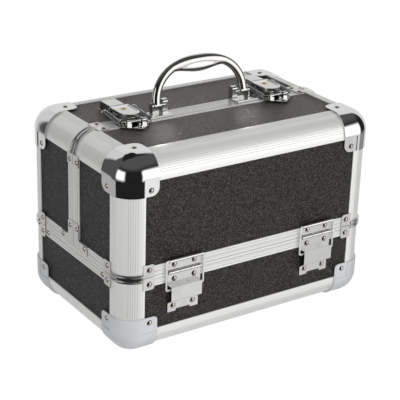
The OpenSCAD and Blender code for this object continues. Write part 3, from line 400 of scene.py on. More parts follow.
def build_pebble_group():
    """Pebbles: rounded cells parted by creases, each cell with its own height, broken by fine noise.

    Height is the rise of a cell from its crease times the cell's own height, plus a share of the fine
    noise. Tops is the same rise times a random share per cell: the coverings paint glints where it is
    high and shade where it is low.
    """
    group, given, out = new_group("Pebble grain", {"Size": 0.0013, "Crease": 0.3}, ("Height", "Tops"))
    bend_scale = 260.0
    bend_depth = 0.0006
    lowest_cell = 0.55
    noise_scale = 4200.0
    noise_share = 0.15
    glint_power = 1.6
    place = object_place(group)
    scale = math_node(group, "DIVIDE", 1.0, given.outputs["Size"])
    bend = scaled_texture(group, "ShaderNodeTexNoise", place, bend_scale, Detail=2.0)
    moved = group.nodes.new("ShaderNodeMixRGB")
    moved.blend_type = "LINEAR_LIGHT"
    moved.inputs["Fac"].default_value = bend_depth
    link(group, place, moved.inputs["Color1"])
    link(group, bend.outputs["Color"], moved.inputs["Color2"])
    bent = moved.outputs[0]
    edge = scaled_texture(group, "ShaderNodeTexVoronoi", bent, scale, feature="DISTANCE_TO_EDGE")
    cell = scaled_texture(group, "ShaderNodeTexVoronoi", bent, scale, feature="F1")
    rise = remap(group, edge.outputs["Distance"], 0.0, given.outputs["Crease"], 0.0, 1.0, smooth=True)
    parts = group.nodes.new("ShaderNodeSeparateColor")
    link(group, cell.outputs["Color"], parts.inputs[0])
    own = remap(group, parts.outputs[0], 0.0, 1.0, lowest_cell, 1.0)
    noise = scaled_texture(group, "ShaderNodeTexNoise", place, noise_scale, Detail=2.0)
    height = math_node(group, "ADD", math_node(group, "MULTIPLY", rise, own),
                       math_node(group, "MULTIPLY", noise.outputs[0], noise_share))
    link(group, height, out.inputs["Height"])
    bright = math_node(group, "POWER", parts.outputs[1], glint_power)
    link(group, math_node(group, "MULTIPLY", rise, bright), out.inputs["Tops"])
    return group


def build_line_group():
    """Lines along each extrusion: stripes of the distance round its section.

    The distance is |z - middle| - |y| on rails along X, |z - middle| - |x| on rails along Y and
    |x| - |y| on uprights, less its value at the rounded middle; on the strips over the seam between
    the lid's halves it is |y|. A groove is where the sine of 360 * distance / pitch is lowest, and
    Bare is how far the grooves keep to their bands. Shade falls in the grooves, where the extrusions use
    it for painted shade.
    """
    group, given, out = new_group(
        "Drawn lines", {"Pitch": 0.002, "Depth": 1.0, "Bare": 0.0}, ("Height", "Shade", "Fine"))
    groove_end = -0.5
    fine_scale = 700.0
    parts = group.nodes.new("ShaderNodeSeparateXYZ")
    link(group, object_place(group), parts.inputs[0])
    x = math_node(group, "ABSOLUTE", parts.outputs[0])
    y = math_node(group, "ABSOLUTE", parts.outputs[1])
    z = math_node(group, "ABSOLUTE", math_node(group, "SUBTRACT", parts.outputs[2], MIDDLE_Z))

    def round_section(a, b, middle):
        """Distance round the section, a - b, less its value at the rounded middle."""
        return math_node(group, "SUBTRACT", math_node(group, "SUBTRACT", a, b), middle)

    on_long = math_node(group, "LESS_THAN", x, HALF_L - EDGE_LEG + HAIR)
    on_end = math_node(group, "LESS_THAN", y, HALF_D - EDGE_LEG + HAIR)
    on_strip = math_node(group, "MULTIPLY", math_node(group, "LESS_THAN", y, STRIP_HALF),
                         math_node(group, "GREATER_THAN", parts.outputs[2], STRIP_LOW))
    distance = mix_numbers(group, on_end, round_section(x, y, HALF_L - HALF_D),
                           round_section(z, x, MIDDLE_Z - HALF_L))
    distance = mix_numbers(group, on_long, distance, round_section(z, y, MIDDLE_Z - HALF_D))
    distance = mix_numbers(group, on_strip, distance, y)

    turns = math_node(group, "DIVIDE", distance, given.outputs["Pitch"])
    wave = math_node(group, "SINE", math_node(group, "MULTIPLY", turns, 2 * math.pi))
    between_grooves = remap(group, wave, -1.0, groove_end, 0.0, 1.0)
    bands = 0.0
    for low, high in LINE_BANDS:
        band = math_node(group, "MULTIPLY", remap(group, distance, low - BAND_EDGE, low, 0.0, 1.0),
                         remap(group, distance, high, high + BAND_EDGE, 1.0, 0.0))
        bands = math_node(group, "MAXIMUM", bands, band)
    bare = math_node(group, "MULTIPLY", given.outputs["Bare"], math_node(group, "SUBTRACT", 1.0, bands))
    cut = math_node(group, "MULTIPLY", math_node(group, "SUBTRACT", 1.0, bare),
                    math_node(group, "SUBTRACT", 1.0, between_grooves))
    shade = math_node(group, "SUBTRACT", 1.0, cut)
    along = group.nodes.new("ShaderNodeCombineXYZ")
    link(group, distance, along.inputs[0])
    fine = scaled_texture(group, "ShaderNodeTexNoise", along.outputs[0], fine_scale, Detail=1.0)
    link(group, math_node(group, "MULTIPLY", shade, given.outputs["Depth"]), out.inputs["Height"])
    link(group, shade, out.inputs["Shade"])
    link(group, fine.outputs[0], out.inputs["Fine"])
    return group


def build_handling_group():
    """Handling marks: broad smears and small specks, as a value around 0.5."""
    group, given, out = new_group("Handling", {"Scale": 60.0, "Specks": 0.3}, ("Value",))
    speck_scale = 2600.0
    place = object_place(group)
    smear = scaled_texture(
        group, "ShaderNodeTexNoise", place, given.outputs["Scale"], Detail=4.0, Distortion=0.6)
    speck = scaled_texture(group, "ShaderNodeTexNoise", place, speck_scale, Detail=1.0)
    spread = math_node(group, "SUBTRACT", speck.outputs[0], 0.5)
    value = math_node(group, "ADD", smear.outputs[0],
                      math_node(group, "MULTIPLY", spread, given.outputs["Specks"]), clamp=True)
    link(group, value, out.inputs["Value"])
    return group


def build_contact_shade_group():
    """Open: 1 on free surfaces, falling to 0 near another surface within Reach, for painted shade between
    parts.
    """
    group, given, out = new_group("Painted contact shade", {"Reach": 0.003}, ("Open",))
    closed_share = 0.35
    open_share = 0.85
    near = group.nodes.new("ShaderNodeAmbientOcclusion")
    near.samples = 8
    link(group, given.outputs["Reach"], near.inputs["Distance"])
    link(group, remap(group, near.outputs["AO"], closed_share, open_share, 0.0, 1.0), out.inputs["Open"])
    return group


def build_inside_group():
    """Inside: 1 where a surface looks towards the middle of the case, 0 where it looks away."""
    group, _, out = new_group("Inside", {}, ("Inside",))
    way = group.nodes.new("ShaderNodeVectorMath")
    way.operation = "SUBTRACT"
    link(group, object_place(group), way.inputs[0])
    way.inputs[1].default_value = (0.0, 0.0, MIDDLE_Z)
    facing = group.nodes.new("ShaderNodeVectorMath")
    facing.operation = "DOT_PRODUCT"
    link(group, way.outputs[0], facing.inputs[0])
    link(group, group.nodes.new("ShaderNodeTexCoord").outputs["Normal"], facing.inputs[1])
    link(group, math_node(group, "LESS_THAN", facing.outputs["Value"], 0.0), out.inputs["Inside"])
    return group


def build_ball_group():
    """Bulge of a pressed ball corner.

    The height is the depth times the sum over the three axes of cos(180 * (reach - w) / reach), where w
    is the distance from the case's face on that axis. Its slope is steepest halfway and none at the
    mouths.
    """
    group, given, out = new_group("Ball bulge", {"Depth": 0.0006}, ("Height",))
    parts = group.nodes.new("ShaderNodeSeparateXYZ")
    link(group, object_place(group), parts.inputs[0])
    total = 0.0
    for axis, limit in enumerate((HALF_L, HALF_D, TOP_Z)):
        w = math_node(group, "SUBTRACT", limit, math_node(group, "ABSOLUTE", parts.outputs[axis]))
        way = math_node(group, "SUBTRACT", math.pi, math_node(group, "MULTIPLY", w, math.pi / BALL_REACH))
        total = math_node(group, "ADD", total, math_node(group, "COSINE", way))
    link(group, math_node(group, "MULTIPLY", total, given.outputs["Depth"]), out.inputs["Height"])
    return group


def group_node(tree, name, **values):
    """Places a shader group in a material, with its own values for the group's inputs."""
    node = tree.nodes.new("ShaderNodeGroup")
    node.node_tree = GROUPS[name]
    for label, value in values.items():
        node.inputs[label].default_value = value
    return node


def start_material(name, colour, metallic, roughness):
    """Principled material with set values; returns it with its tree and shader."""
    material = bpy.data.materials.new(name)
    material.use_nodes = True
    tree = material.node_tree
    shader = tree.nodes["Principled BSDF"]
    shader.inputs["Base Color"].default_value = (*colour, 1.0)
    shader.inputs["Metallic"].default_value = metallic
    shader.inputs["Roughness"].default_value = roughness
    material.diffuse_color = (*colour, 1.0)
    return material, tree, shader


def bump(tree, shader, height, distance, strength=1.0):
    """Feeds Normal with a relief that is the height times the distance deep."""
    node = tree.nodes.new("ShaderNodeBump")
    node.inputs["Distance"].default_value = distance
    feed(tree, strength, node.inputs["Strength"])
    link(tree, height, node.inputs["Height"])
    link(tree, node.outputs[0], shader.inputs["Normal"])


def covering(name, colour, size, relief, glint, roughness=(0.28, 0.80), sheen=(1.0, 1.0, 1.0)):
    """Pebble-grained covering: painted shade in creases and by rails, painted glints and more gloss on
    tops.

    The side towards the inside is a dull, almost plain lining. Glint is the brightness of the painted
    glints on the tops as a multiple of the colour, roughness holds the value of the tops and of the
    creases, and sheen tints what the surface mirrors.
    """
    material, tree, shader = start_material(name, colour, 0.0, 0.5)
    grain = group_node(tree, "pebble", Size=size)
    # Painted shade: the covering loses its glints and darkens where a rail stands close
    contact_shade = group_node(tree, "contact_shade", Reach=0.0035)
    inside = group_node(tree, "inside").outputs["Inside"]
    nap = group_node(tree, "handling", Scale=90.0)
    tops = math_node(tree, "MULTIPLY", grain.outputs["Tops"], contact_shade.outputs["Open"])
    # Painted shade in the creases and painted glints on the tops, as shares of the colour
    outer_shade = mix_colours(tree, tops, share_of(colour, CREASE_SHADE_SHARE), share_of(colour, glint))
    lining = mix_colours(tree, nap.outputs["Value"], LINING_DARK, LINING_LIGHT)
    link(tree, mix_colours(tree, inside, outer_shade, lining), shader.inputs["Base Color"])
    gloss = math_node(tree, "MULTIPLY", remap(tree, grain.outputs["Tops"], 0.0, 1.0, 0.4, 1.0),
                      contact_shade.outputs["Open"])
    outer_roughness = remap(tree, gloss, 0.0, 1.0, roughness[1], roughness[0])
    lining_roughness = math_node(tree, "MULTIPLY", inside, LINING_ROUGHNESS)
    link(tree, math_node(tree, "MAXIMUM", outer_roughness, lining_roughness), shader.inputs["Roughness"])
    shader.inputs["Specular IOR Level"].default_value = 0.8
    shader.inputs["Specular Tint"].default_value = (*sheen, 1.0)
    share = remap(tree, inside, 0.0, 1.0, 1.0, LINING_RELIEF)
    bump(tree, shader, math_node(tree, "MULTIPLY", grain.outputs["Height"], share), relief)
    return material


def extrusion(name, colour, pitch, roughness, depth, bare):
    """Satin anodised extrusion, partly chalky, with fine lines along its length and painted shade in them.
    """
    material, tree, shader = start_material(name, colour, 0.45, roughness)
    lines = group_node(tree, "lines", Pitch=pitch, Depth=depth, Bare=bare)
    # Painted shade: the extrusion darkens where another part stands close
    contact_shade = group_node(tree, "contact_shade", Reach=0.002)
    shade = math_node(tree, "MULTIPLY", lines.outputs["Shade"], contact_shade.outputs["Open"])
    # Painted shade: the grooves take a share of the colour
    link(tree, mix_colours(tree, shade, share_of(colour, GROOVE_SHADE_SHARE), colour),
         shader.inputs["Base Color"])
    link(tree, remap_noise(tree, lines.outputs["Fine"], roughness - 0.06, roughness + 0.08),
         shader.inputs["Roughness"])
    bump(tree, shader, lines.outputs["Height"], 0.00012)
    return material


def metal(name, colour, roughness, spread, dent=0.000004, metallic=1.0):
    """Plated or bare metal with handling marks in its gloss and a faint unevenness."""
    material, tree, shader = start_material(name, colour, metallic, roughness)
    marks = group_node(tree, "handling").outputs["Value"]
    smoothest = max(roughness - spread, 0.02)
    link(tree, remap_noise(tree, marks, smoothest, roughness + spread), shader.inputs["Roughness"])
    link(tree, mix_colours(tree, marks, share_of(colour, 1.05), share_of(colour, 0.93)),
         shader.inputs["Base Color"])
    bump(tree, shader, marks, dent)
    return material


def ball_chrome(name, colour, roughness):
    """Chrome of the pressed ball corners, whose rounded areas bulge while their ears stay flat.

    A surface is flat where its largest normal component is 1, and counts as rounded below 0.985.
    """
    material, tree, shader = start_material(name, colour, 1.0, roughness)
    marks = group_node(tree, "handling").outputs["Value"]
    link(tree, remap_noise(tree, marks, roughness - 0.02, roughness + 0.03), shader.inputs["Roughness"])
    facing = tree.nodes.new("ShaderNodeSeparateXYZ")
    link(tree, tree.nodes.new("ShaderNodeTexCoord").outputs["Normal"], facing.inputs[0])
    largest = 0.0
    for component in facing.outputs:
        largest = math_node(tree, "MAXIMUM", largest, math_node(tree, "ABSOLUTE", component))
    rounded = remap(tree, largest, 0.985, 1.0, 1.0, 0.0)
    bump(tree, shader, group_node(tree, "ball").outputs["Height"], 1.0, strength=rounded)
    return material


def moulding(name, colour):
    """Moulded plastic with a fine spark texture."""
    material, tree, shader = start_material(name, colour, 0.0, 0.45)
    marks = group_node(tree, "handling", Scale=35.0, Specks=1.2).outputs["Value"]
    link(tree, remap_noise(tree, marks, 0.38, 0.58), shader.inputs["Roughness"])
    bump(tree, shader, marks, 0.00004)
    return material


# ---------------------------------------------------------------- surfaces


def mesh_piece(name, points, faces, smooth=True):
    """Object at the origin from an array of points in metres and a list of faces."""
    mesh = bpy.data.meshes.new(name)
    mesh.from_pydata(points.tolist(), [], faces)
    mesh.validate()
    if smooth:
        mesh.shade_smooth()
    piece = bpy.data.objects.new(name, mesh)
    bpy.context.scene.collection.objects.link(piece)
    return piece


def tube_faces(rings, sides, start):
    """Quads between neighbouring rings of a tube and one face that closes each end."""
    i, k = np.meshgrid(np.arange(rings - 1), np.arange(sides), indexing="ij")
    a = start + i * sides + k
    b = start + i * sides + (k + 1) % sides
    quads = np.stack([a, b, b + sides, a + sides], -1).reshape(-1, 4).tolist()
    first = (start + np.arange(sides))[::-1].tolist()
    last = (start + (rings - 1) * sides + np.arange(sides)).tolist()
    return quads + [first, last]


def framed_tube(centre, normal, across, radius, sides):
    """Points round a path, ring by ring: centre + radius * (cos(a) * normal + sin(a) * across)."""
    angle = np.linspace(0.0, 2 * np.pi, sides, endpoint=False)[None, :, None]
    ring = np.cos(angle) * normal[:, None, :] + np.sin(angle) * across[:, None, :]
    return (centre[:, None, :] + radius * ring).reshape(-1, 3)


def coil_points(start, end, coil, wire, turns, per_turn=14, sides=7):
    """Helix between two points: axis point + coil * (cos(w) * u + sin(w) * v), swept by a round wire.

    u is X and v is the axis crossed with it, so the axis has to be square to X. The wire's section is
    framed by the outward direction and the tangent crossed with it.
    """
    t = np.linspace(0.0, 1.0, turns * per_turn + 1)
    axis = end - start
    length = np.linalg.norm(axis)
    axis = axis / length
    u = np.array([1.0, 0.0, 0.0])
    v = np.cross(axis, u)
    w = 2 * np.pi * turns * t
    out = np.cos(w)[:, None] * u + np.sin(w)[:, None] * v
    turn = -np.sin(w)[:, None] * u + np.cos(w)[:, None] * v
    centre = start + t[:, None] * length * axis + coil * out
    tangent = turn * (2 * np.pi * turns * coil) + axis * length
    tangent /= np.linalg.norm(tangent, axis=1)[:, None]
    return framed_tube(centre, out, np.cross(tangent, out), wire, sides), len(t), sides


def signed_power(value, power):
    """|value| to the power, with the sign of the value."""
    return np.sign(value) * np.abs(value) ** power


def bow_surface(sizes, stations=220, sides=56):
    """Bow: a superellipse centre line with a waisted oval section.

    Centre line: (-leg * cos(a)^(2/n), rise * sin(a)^(2/n)) for a from 0 to 180 degrees, where n is the
    squareness. Section at angle b, with s the swell's depth there, S * cos(90 x / reach), and p the
    section's power: outward by -s/2 + (w + s)/2 * cos(b)^p, and across by
    t/2 * (1 + thicker * s/S) * sin(b)^p * (1 - waist), where the waist is a narrow bell at which the
    swell meets the bow. The stations lie closer together at the bends.
    """
    slope_step = 0.008
    bend_crowding = 60
    u = np.linspace(0.0, 1.0, stations + 1)
    a = np.pi * (u - np.sin(4 * np.pi * u) / bend_crowding)

    def line(angle):
        """Centre line at these angles."""
        angle = np.clip(angle, 0.0, np.pi)
        return np.stack([-sizes.leg * signed_power(np.cos(angle), 2 / sizes.square),
                         sizes.rise * signed_power(np.sin(angle), 2 / sizes.square)], -1)

    centre = line(a)
    ahead = line(a + slope_step) - line(a - slope_step)
    normal = np.stack([-ahead[:, 1], ahead[:, 0]], -1) / np.linalg.norm(ahead, axis=1)[:, None]
    x = centre[:, :1]
    quarter_turns = np.clip(x / sizes.swell_reach, -1.0, 1.0)
    swell = np.where(np.abs(x) < sizes.swell_reach, sizes.swell * np.cos(np.pi / 2 * quarter_turns), 0.0)
    b = np.linspace(0.0, 2 * np.pi, sides, endpoint=False)[None, :]
    out = -swell / 2 + (sizes.width + swell) / 2 * signed_power(np.cos(b), SECTION_POWER)
    waist = WAIST_SHARE * swell / sizes.swell * np.exp(-((out + sizes.width / 2) / WAIST_REACH) ** 2)
    half_thickness = sizes.thickness / 2 * (1 + SWELL_THICKER * swell / sizes.swell)
    across = half_thickness * signed_power(np.sin(b), SECTION_POWER) * (1 - waist)
    grid = np.stack([x + normal[:, :1] * out, across, centre[:, 1:] + normal[:, 1:] * out], -1)
    return grid.reshape(-1, 3), stations + 1, sides


def ring_surface(middle, width, inner, outer, rounding, sides=48, corner_points=5):
    """Ring about X: a rectangle of width by (outer - inner) with rounded outer edges, turned round X."""
    turn = np.linspace(0.0, np.pi / 2, corner_points)
    half = width / 2
    flat = half - rounding
    shoulder = outer - rounding
    right = np.stack([flat + rounding * np.sin(turn), shoulder + rounding * np.cos(turn)], -1)
    left = np.stack([-flat - rounding * np.cos(turn), shoulder + rounding * np.sin(turn)], -1)
    profile = np.concatenate([right, [[half, inner], [-half, inner]], left])
    angle = np.linspace(0.0, 2 * np.pi, sides, endpoint=False)
    grid = np.stack([
        np.broadcast_to(middle[0] + profile[None, :, 0], (sides, len(profile))),
        middle[1] + profile[None, :, 1] * np.cos(angle)[:, None],
        middle[2] + profile[None, :, 1] * np.sin(angle)[:, None]], -1)
    return grid.reshape(-1, 3), sides, len(profile)


def torus_faces(rings, sides, start):
    """Quads over a grid that closes both ways."""
    i, k = np.meshgrid(np.arange(rings), np.arange(sides), indexing="ij")
    a = start + i * sides + k
    b = start + i * sides + (k + 1) % sides
    c = start + ((i + 1) % rings) * sides + (k + 1) % sides
    d = start + ((i + 1) % rings) * sides + k
    return np.stack([a, b, c, d], -1).reshape(-1, 4).tolist()


# ---------------------------------------------------------------- stage


def place_camera(context, settings):
    """Camera axes: back from the angles, right and up rolled about the view."""
    a, e, roll = settings.azimuth, settings.elevation, settings.roll
    back = np.array([-math.sin(a) * math.cos(e), -math.cos(a) * math.cos(e), math.sin(e)])
    right = np.cross(-back, [0.0, 0.0, 1.0])
    right /= np.linalg.norm(right)
    up = np.cross(right, -back)
    rolled_right = math.cos(roll) * right + math.sin(roll) * up
    rolled_up = -math.sin(roll) * right + math.cos(roll) * up
    data = bpy.data.cameras.new("Camera")
    data.lens = settings.lens
    data.sensor_width = SENSOR_WIDTH
    data.sensor_fit = "HORIZONTAL"
    data.clip_start = CLIP_NEAR
    data.clip_end = CLIP_FAR
    camera = bpy.data.objects.new("Camera", data)
    context.scene.collection.objects.link(camera)
    turn = Matrix(np.stack([rolled_right, rolled_up, back], axis=1).tolist()).to_4x4()
    turn.translation = (np.array(settings.target) + settings.distance * back).tolist()
    camera.matrix_world = turn
    context.scene.camera = camera


def hang_lamp(context, data, place, aim):
    """Hangs a lamp at its place and turns it towards its aim."""
    lamp = bpy.data.objects.new(data.name, data)
    context.scene.collection.objects.link(lamp)
    lamp.location = place
    lamp.rotation_mode = "QUATERNION"
    lamp.rotation_quaternion = (Vector(aim) - Vector(place)).to_track_quat("-Z", "Y")
    return lamp


def soft_light(context, name, place, aim, size, power):
    """Large square light that glossy surfaces don't show."""
    data = bpy.data.lights.new(name, "AREA")
    data.shape = "SQUARE"
    data.size = size
    data.energy = power
    lamp = hang_lamp(context, data, place, aim)
    lamp.visible_glossy = False


def leg_glow(context, name, leg, power):
    """Light that a polished leg of the handle, at this place along X, throws forward onto the lid."""
    data = bpy.data.lights.new(name, "SPOT")
    data.energy = power
    data.spot_size = GLOW_CONE
    data.spot_blend = 1.0
    data.shadow_soft_size = GLOW_RADIUS
    lamp = hang_lamp(context, data, (leg, *GLOW_START), (leg + GLOW_SHIFT, *GLOW_AIM))
    lamp.visible_camera = False


def hang_lights(context, settings):
    """A large soft light in front, a weaker one at the left, and the glow of the handle's legs."""
    soft_light(context, "Key", KEY_PLACE, KEY_AIM, KEY_SIZE, settings.key)
    soft_light(context, "Left fill", FILL_PLACE, FILL_AIM, FILL_SIZE, settings.key * FILL_SHARE)
    for name, side in SIDES.items():
        leg_glow(context, name + "_leg_glow", side * context.scene.train_case_bow.leg, settings.glow)


def studio_window(tree, turn, rise, edges, softness):
    """1 inside a window of the studio and 0 outside: the product of a smooth step at each edge."""
    left, right, low, high = edges
    window = 1.0
    for angle, start, end in ((turn, left, right), (rise, low, high)):
        for edge, before, after in ((start, 0.0, 1.0), (end, 1.0, 0.0)):
            step = remap(tree, angle, math.radians(edge - softness), math.radians(edge + softness),
                         before, after, smooth=True)
            window = math_node(tree, "MULTIPLY", window, step)
    return window


def studio(tree, settings):
    """Brightness of the studio by direction: that of the brightest window there, or of the dark room."""
    parts = tree.nodes.new("ShaderNodeSeparateXYZ")
    link(tree, tree.nodes.new("ShaderNodeTexCoord").outputs["Generated"], parts.inputs[0])
    turn = math_node(tree, "ARCTAN2", parts.outputs[0], math_node(tree, "MULTIPLY", parts.outputs[1], -1.0))
    rise = math_node(tree, "ARCSINE", parts.outputs[2])
    total = settings.room
    for *edges, softness, brightness in STUDIO:
        window = studio_window(tree, turn, rise, edges, softness)
        total = math_node(tree, "MAXIMUM", total, math_node(tree, "MULTIPLY", window, brightness))
    return total


def surround(context, settings):
    """White to the eye, even light on the case, and a studio that only glossy surfaces show."""
    world = bpy.data.worlds.new("Surroundings")
    context.scene.world = world
    world.use_nodes = True
    tree = world.node_tree
    path = tree.nodes.new("ShaderNodeLightPath")
    seen = math_node(tree, "MAXIMUM", path.outputs["Is Camera Ray"], path.outputs["Is Transmission Ray"])
    parts = tree.nodes.new("ShaderNodeSeparateXYZ")
    link(tree, tree.nodes.new("ShaderNodeTexCoord").outputs["Generated"], parts.inputs[0])
    light = remap(tree, parts.outputs[2], 0.0, 1.0, settings.world, settings.world * settings.above)
    strength = mix_numbers(tree, seen, light, 1.0)
    strength = mix_numbers(tree, path.outputs["Is Glossy Ray"], strength, studio(tree, settings))
    background = tree.nodes["Background"]
    background.inputs["Color"].default_value = (1.0, 1.0, 1.0, 1.0)
    link(tree, strength, background.inputs["Strength"])


def floor_finish():
    """Grey to the case; white to the eye, to glass and to metal, and darker in the case's shadow."""
    material = bpy.data.materials.new("Floor")
    material.use_nodes = True
    tree = material.node_tree
    tree.nodes.clear()
    out = tree.nodes.new("ShaderNodeOutputMaterial")
    plain = tree.nodes.new("ShaderNodeBsdfDiffuse")
    plain.inputs["Color"].default_value = (*FLOOR_PLAIN, 1.0)
    shadow = tree.nodes.new("ShaderNodeBsdfDiffuse")
    shadow.inputs["Color"].default_value = (*FLOOR_SHADOW, 1.0)
    glow = tree.nodes.new("ShaderNodeEmission")
    glow.inputs["Strength"].default_value = FLOOR_GLOW
    white = tree.nodes.new("ShaderNodeAddShader")
    link(tree, shadow.outputs[0], white.inputs[0])
    link(tree, glow.outputs[0], white.inputs[1])
    path = tree.nodes.new("ShaderNodeLightPath")
    seen = math_node(tree, "MAXIMUM", path.outputs["Is Camera Ray"], path.outputs["Is Transmission Ray"])
    seen = math_node(tree, "MAXIMUM", seen, path.outputs["Is Glossy Ray"])
    mix = tree.nodes.new("ShaderNodeMixShader")
    link(tree, seen, mix.inputs[0])
    link(tree, plain.outputs[0], mix.inputs[1])
    link(tree, white.outputs[0], mix.inputs[2])
    link(tree, mix.outputs[0], out.inputs["Surface"])
    return material


def lay_floor():
    """Wide flat floor under the case."""
    corners = ((-1.0, -1.0, 0.0), (1.0, -1.0, 0.0), (1.0, 1.0, 0.0), (-1.0, 1.0, 0.0))
    points = FLOOR_HALF * np.array(corners)
    floor = mesh_piece("Floor", points, [[0, 1, 2, 3]], smooth=False)
    floor.data.materials.append(floor_finish())
    floor.visible_glossy = False


# ---------------------------------------------------------------- operators


class CASE_OT_finishes(bpy.types.Operator):
    """Makes the shader groups and materials and gives each part of the case its finish"""

    bl_idname = "train_case.finishes"
    bl_label = "Finishes"

    def execute(self, context):
        look = context.scene.train_case_finish
        GROUPS["pebble"] = build_pebble_group()
        GROUPS["lines"] = build_line_group()
        GROUPS["handling"] = build_handling_group()
        GROUPS["contact_shade"] = build_contact_shade_group()
        GROUPS["ball"] = build_ball_group()
        GROUPS["inside"] = build_inside_group()
        face_pebble = look.pebble * look.face_pebble
        rim_pitch = look.line_pitch * look.rim_pitch
        finishes = {
            "panel_face": covering(
                "Front covering", look.covering_face, face_pebble, relief=0.0015, glint=14.0),
            # The lid's covering is a lighter copy of the front's: painted light
            "panel_top": covering(
                "Lit top covering", look.covering_top_lit, look.pebble, relief=0.0012, glint=5.5,
                roughness=(0.18, 0.48), sheen=(1.0, 0.93, 0.87)),
            # The ends' covering is a darker copy of the front's, with weaker glints: painted shade
            "panel_end": covering(
                "Shaded end covering", look.covering_end_shaded, look.pebble, relief=0.0009, glint=5.0),
            "floor_panel": covering(
                "Floor covering", look.covering_face, face_pebble, relief=0.0015, glint=14.0),
            "frame": extrusion(
                "Satin extrusion", look.aluminium, look.line_pitch, roughness=0.32, depth=1.0, bare=0.85),
            "rim": extrusion(
                "Ribbed rim", look.rim, rim_pitch, roughness=0.30, depth=0.9, bare=0.0),
            "chrome": metal("Chrome", look.chrome, roughness=0.05, spread=0.02),
            # The handle's chrome is a darker copy of the chrome: painted shade
            "bow": metal("Shaded handle chrome", look.bow, roughness=0.06, spread=0.02),
            "ball": ball_chrome("Ball chrome", look.chrome, roughness=0.05),
            "bracket": metal("Stamped nickel", look.nickel, roughness=0.2, spread=0.06),
            "satin_corner": metal("Satin corner", look.satin, roughness=0.42, spread=0.06, metallic=0.3),
            "rivet": metal("Domed steel", look.steel, roughness=0.26, spread=0.05),
            "hinge": metal("Hinge nickel", look.nickel, roughness=0.2, spread=0.04, dent=0.000001),
            "pin": metal("Pin steel", look.steel, roughness=0.25, spread=0.06),
            "stay": metal("Stay wire", look.aluminium, roughness=0.40, spread=0.06, metallic=0.4),
            "latch": metal("Latch nickel", look.nickel, roughness=0.13, spread=0.05),
            "spring": metal("Spring steel", look.spring, roughness=0.16, spread=0.05),
            "key": metal("Key brass", look.brass, roughness=0.16, spread=0.06),
            "arm": metal("Zinc plate", look.zinc, roughness=0.32, spread=0.1),
            "tray": moulding("Tray plastic", look.plastic),
        }
        for part in frame["record"]["subparts"]:
            node = frame["nodes"][part["node"]]
            finish = finishes[OWN_FINISH.get(part["node"], part["material_slot"])]
            if not node.material_slots:
                node.data.materials.append(finish)
            for slot in node.material_slots:
                slot.material = finish
        return {"FINISHED"}


class CASE_OT_draw_springs(bpy.types.Operator):
    """Winds the two draw springs beside each lever, from its pin to the catch plate's hooks"""

    bl_idname = "train_case.draw_springs"
    bl_label = "Draw springs"

    def execute(self, context):
        sizes = context.scene.train_case_spring
        for side in SIDES:
            low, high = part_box(side + "_draw_bail")
            middle = (low.x + high.x) / 2
            points = []
            faces = []
            start = 0
            for sign in SIDES.values():
                x = middle + sign * sizes.out
                rear = np.array([x, sizes.rear, high.z - SPRING_REAR_DROP])
                front = np.array([x, sizes.front, low.z + SPRING_FRONT_RISE])
                grid, rings, sides = coil_points(rear, front, sizes.coil, sizes.wire, sizes.turns)
                points.append(grid)
                faces += tube_faces(rings, sides, start)
                start += len(grid)
            piece = mesh_piece(side + "_draw_coils", np.concatenate(points), faces)
            piece.data.materials.append(bpy.data.materials["Spring steel"])
            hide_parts(side + "_draw_springs")
            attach(piece, side + "_draw_bail")
        return {"FINISHED"}


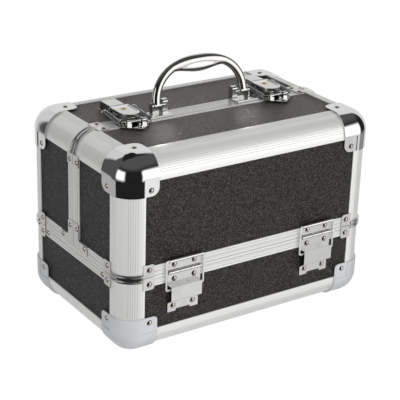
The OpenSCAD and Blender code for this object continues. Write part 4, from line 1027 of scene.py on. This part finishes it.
class CASE_OT_bow(bpy.types.Operator):
    """Sweeps the handle's smooth bow with an eye at each foot, over the solid handle"""

    bl_idname = "train_case.bow"
    bl_label = "Handle bow"

    def execute(self, context):
        sizes = context.scene.train_case_bow
        grid, rings, sides = bow_surface(sizes)
        faces = [face[::-1] for face in tube_faces(rings, sides, 0)]
        parts = [grid]
        start = len(grid)
        for side in SIDES.values():
            foot = (side * sizes.leg, 0.0, 0.0)
            grid, rings, sides = ring_surface(foot, sizes.width, sizes.hole, sizes.eye, EYE_ROUND)
            parts.append(grid)
            faces += torus_faces(rings, sides, start)
            start += len(grid)
        x, y, z = np.concatenate(parts).T
        c = math.cos(sizes.lean)
        s = math.sin(sizes.lean)
        points = np.stack([x, y * c + z * s, z * c - y * s], -1) + np.array(sizes.pivot)
        piece = mesh_piece("handle_bow", points, faces)
        piece.data.materials.append(bpy.data.materials["Shaded handle chrome"])
        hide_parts("handle")
        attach(piece, "handle")
        return {"FINISHED"}


class CASE_OT_stage(bpy.types.Operator):
    """Sets the camera, the lights, the floor and the surroundings"""

    bl_idname = "train_case.stage"
    bl_label = "Stage"

    def execute(self, context):
        settings = context.scene.train_case_stage
        place_camera(context, settings)
        hang_lights(context, settings)
        surround(context, settings)
        lay_floor()
        context.scene.view_settings.view_transform = "Standard"
        return {"FINISHED"}


class CASE_PT_pieces(bpy.types.Panel):
    """Shows the train case's settings and the buttons of its operators"""

    bl_idname = "CASE_PT_pieces"
    bl_label = "Train case"
    bl_space_type = "VIEW_3D"
    bl_region_type = "UI"
    bl_category = "Train case"

    def draw(self, context):
        for group in SETTINGS:
            settings = getattr(context.scene, group)
            box = self.layout.box()
            for name in settings.__annotations__:
                box.prop(settings, name)
        for operator in OPERATORS:
            self.layout.operator(operator.bl_idname)


SETTINGS = {
    "train_case_finish": FinishSettings,
    "train_case_spring": SpringSettings,
    "train_case_bow": BowSettings,
    "train_case_stage": StageSettings,
}
OPERATORS = (CASE_OT_finishes, CASE_OT_draw_springs, CASE_OT_bow, CASE_OT_stage)
CLASSES = (*SETTINGS.values(), *OPERATORS, CASE_PT_pieces)


def register():
    """Registers the classes and gives every scene its settings."""
    for cls in CLASSES:
        bpy.utils.register_class(cls)
    for name, cls in SETTINGS.items():
        setattr(bpy.types.Scene, name, bpy.props.PointerProperty(type=cls))


def unregister():
    """Takes the settings and the classes away again."""
    for name in SETTINGS:
        delattr(bpy.types.Scene, name)
    for cls in reversed(CLASSES):
        bpy.utils.unregister_class(cls)


def main():
    """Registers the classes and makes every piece."""
    register()
    bpy.ops.train_case.finishes()
    bpy.ops.train_case.draw_springs()
    bpy.ops.train_case.bow()
    bpy.ops.train_case.stage()


if __name__ == "__main__":
    main()
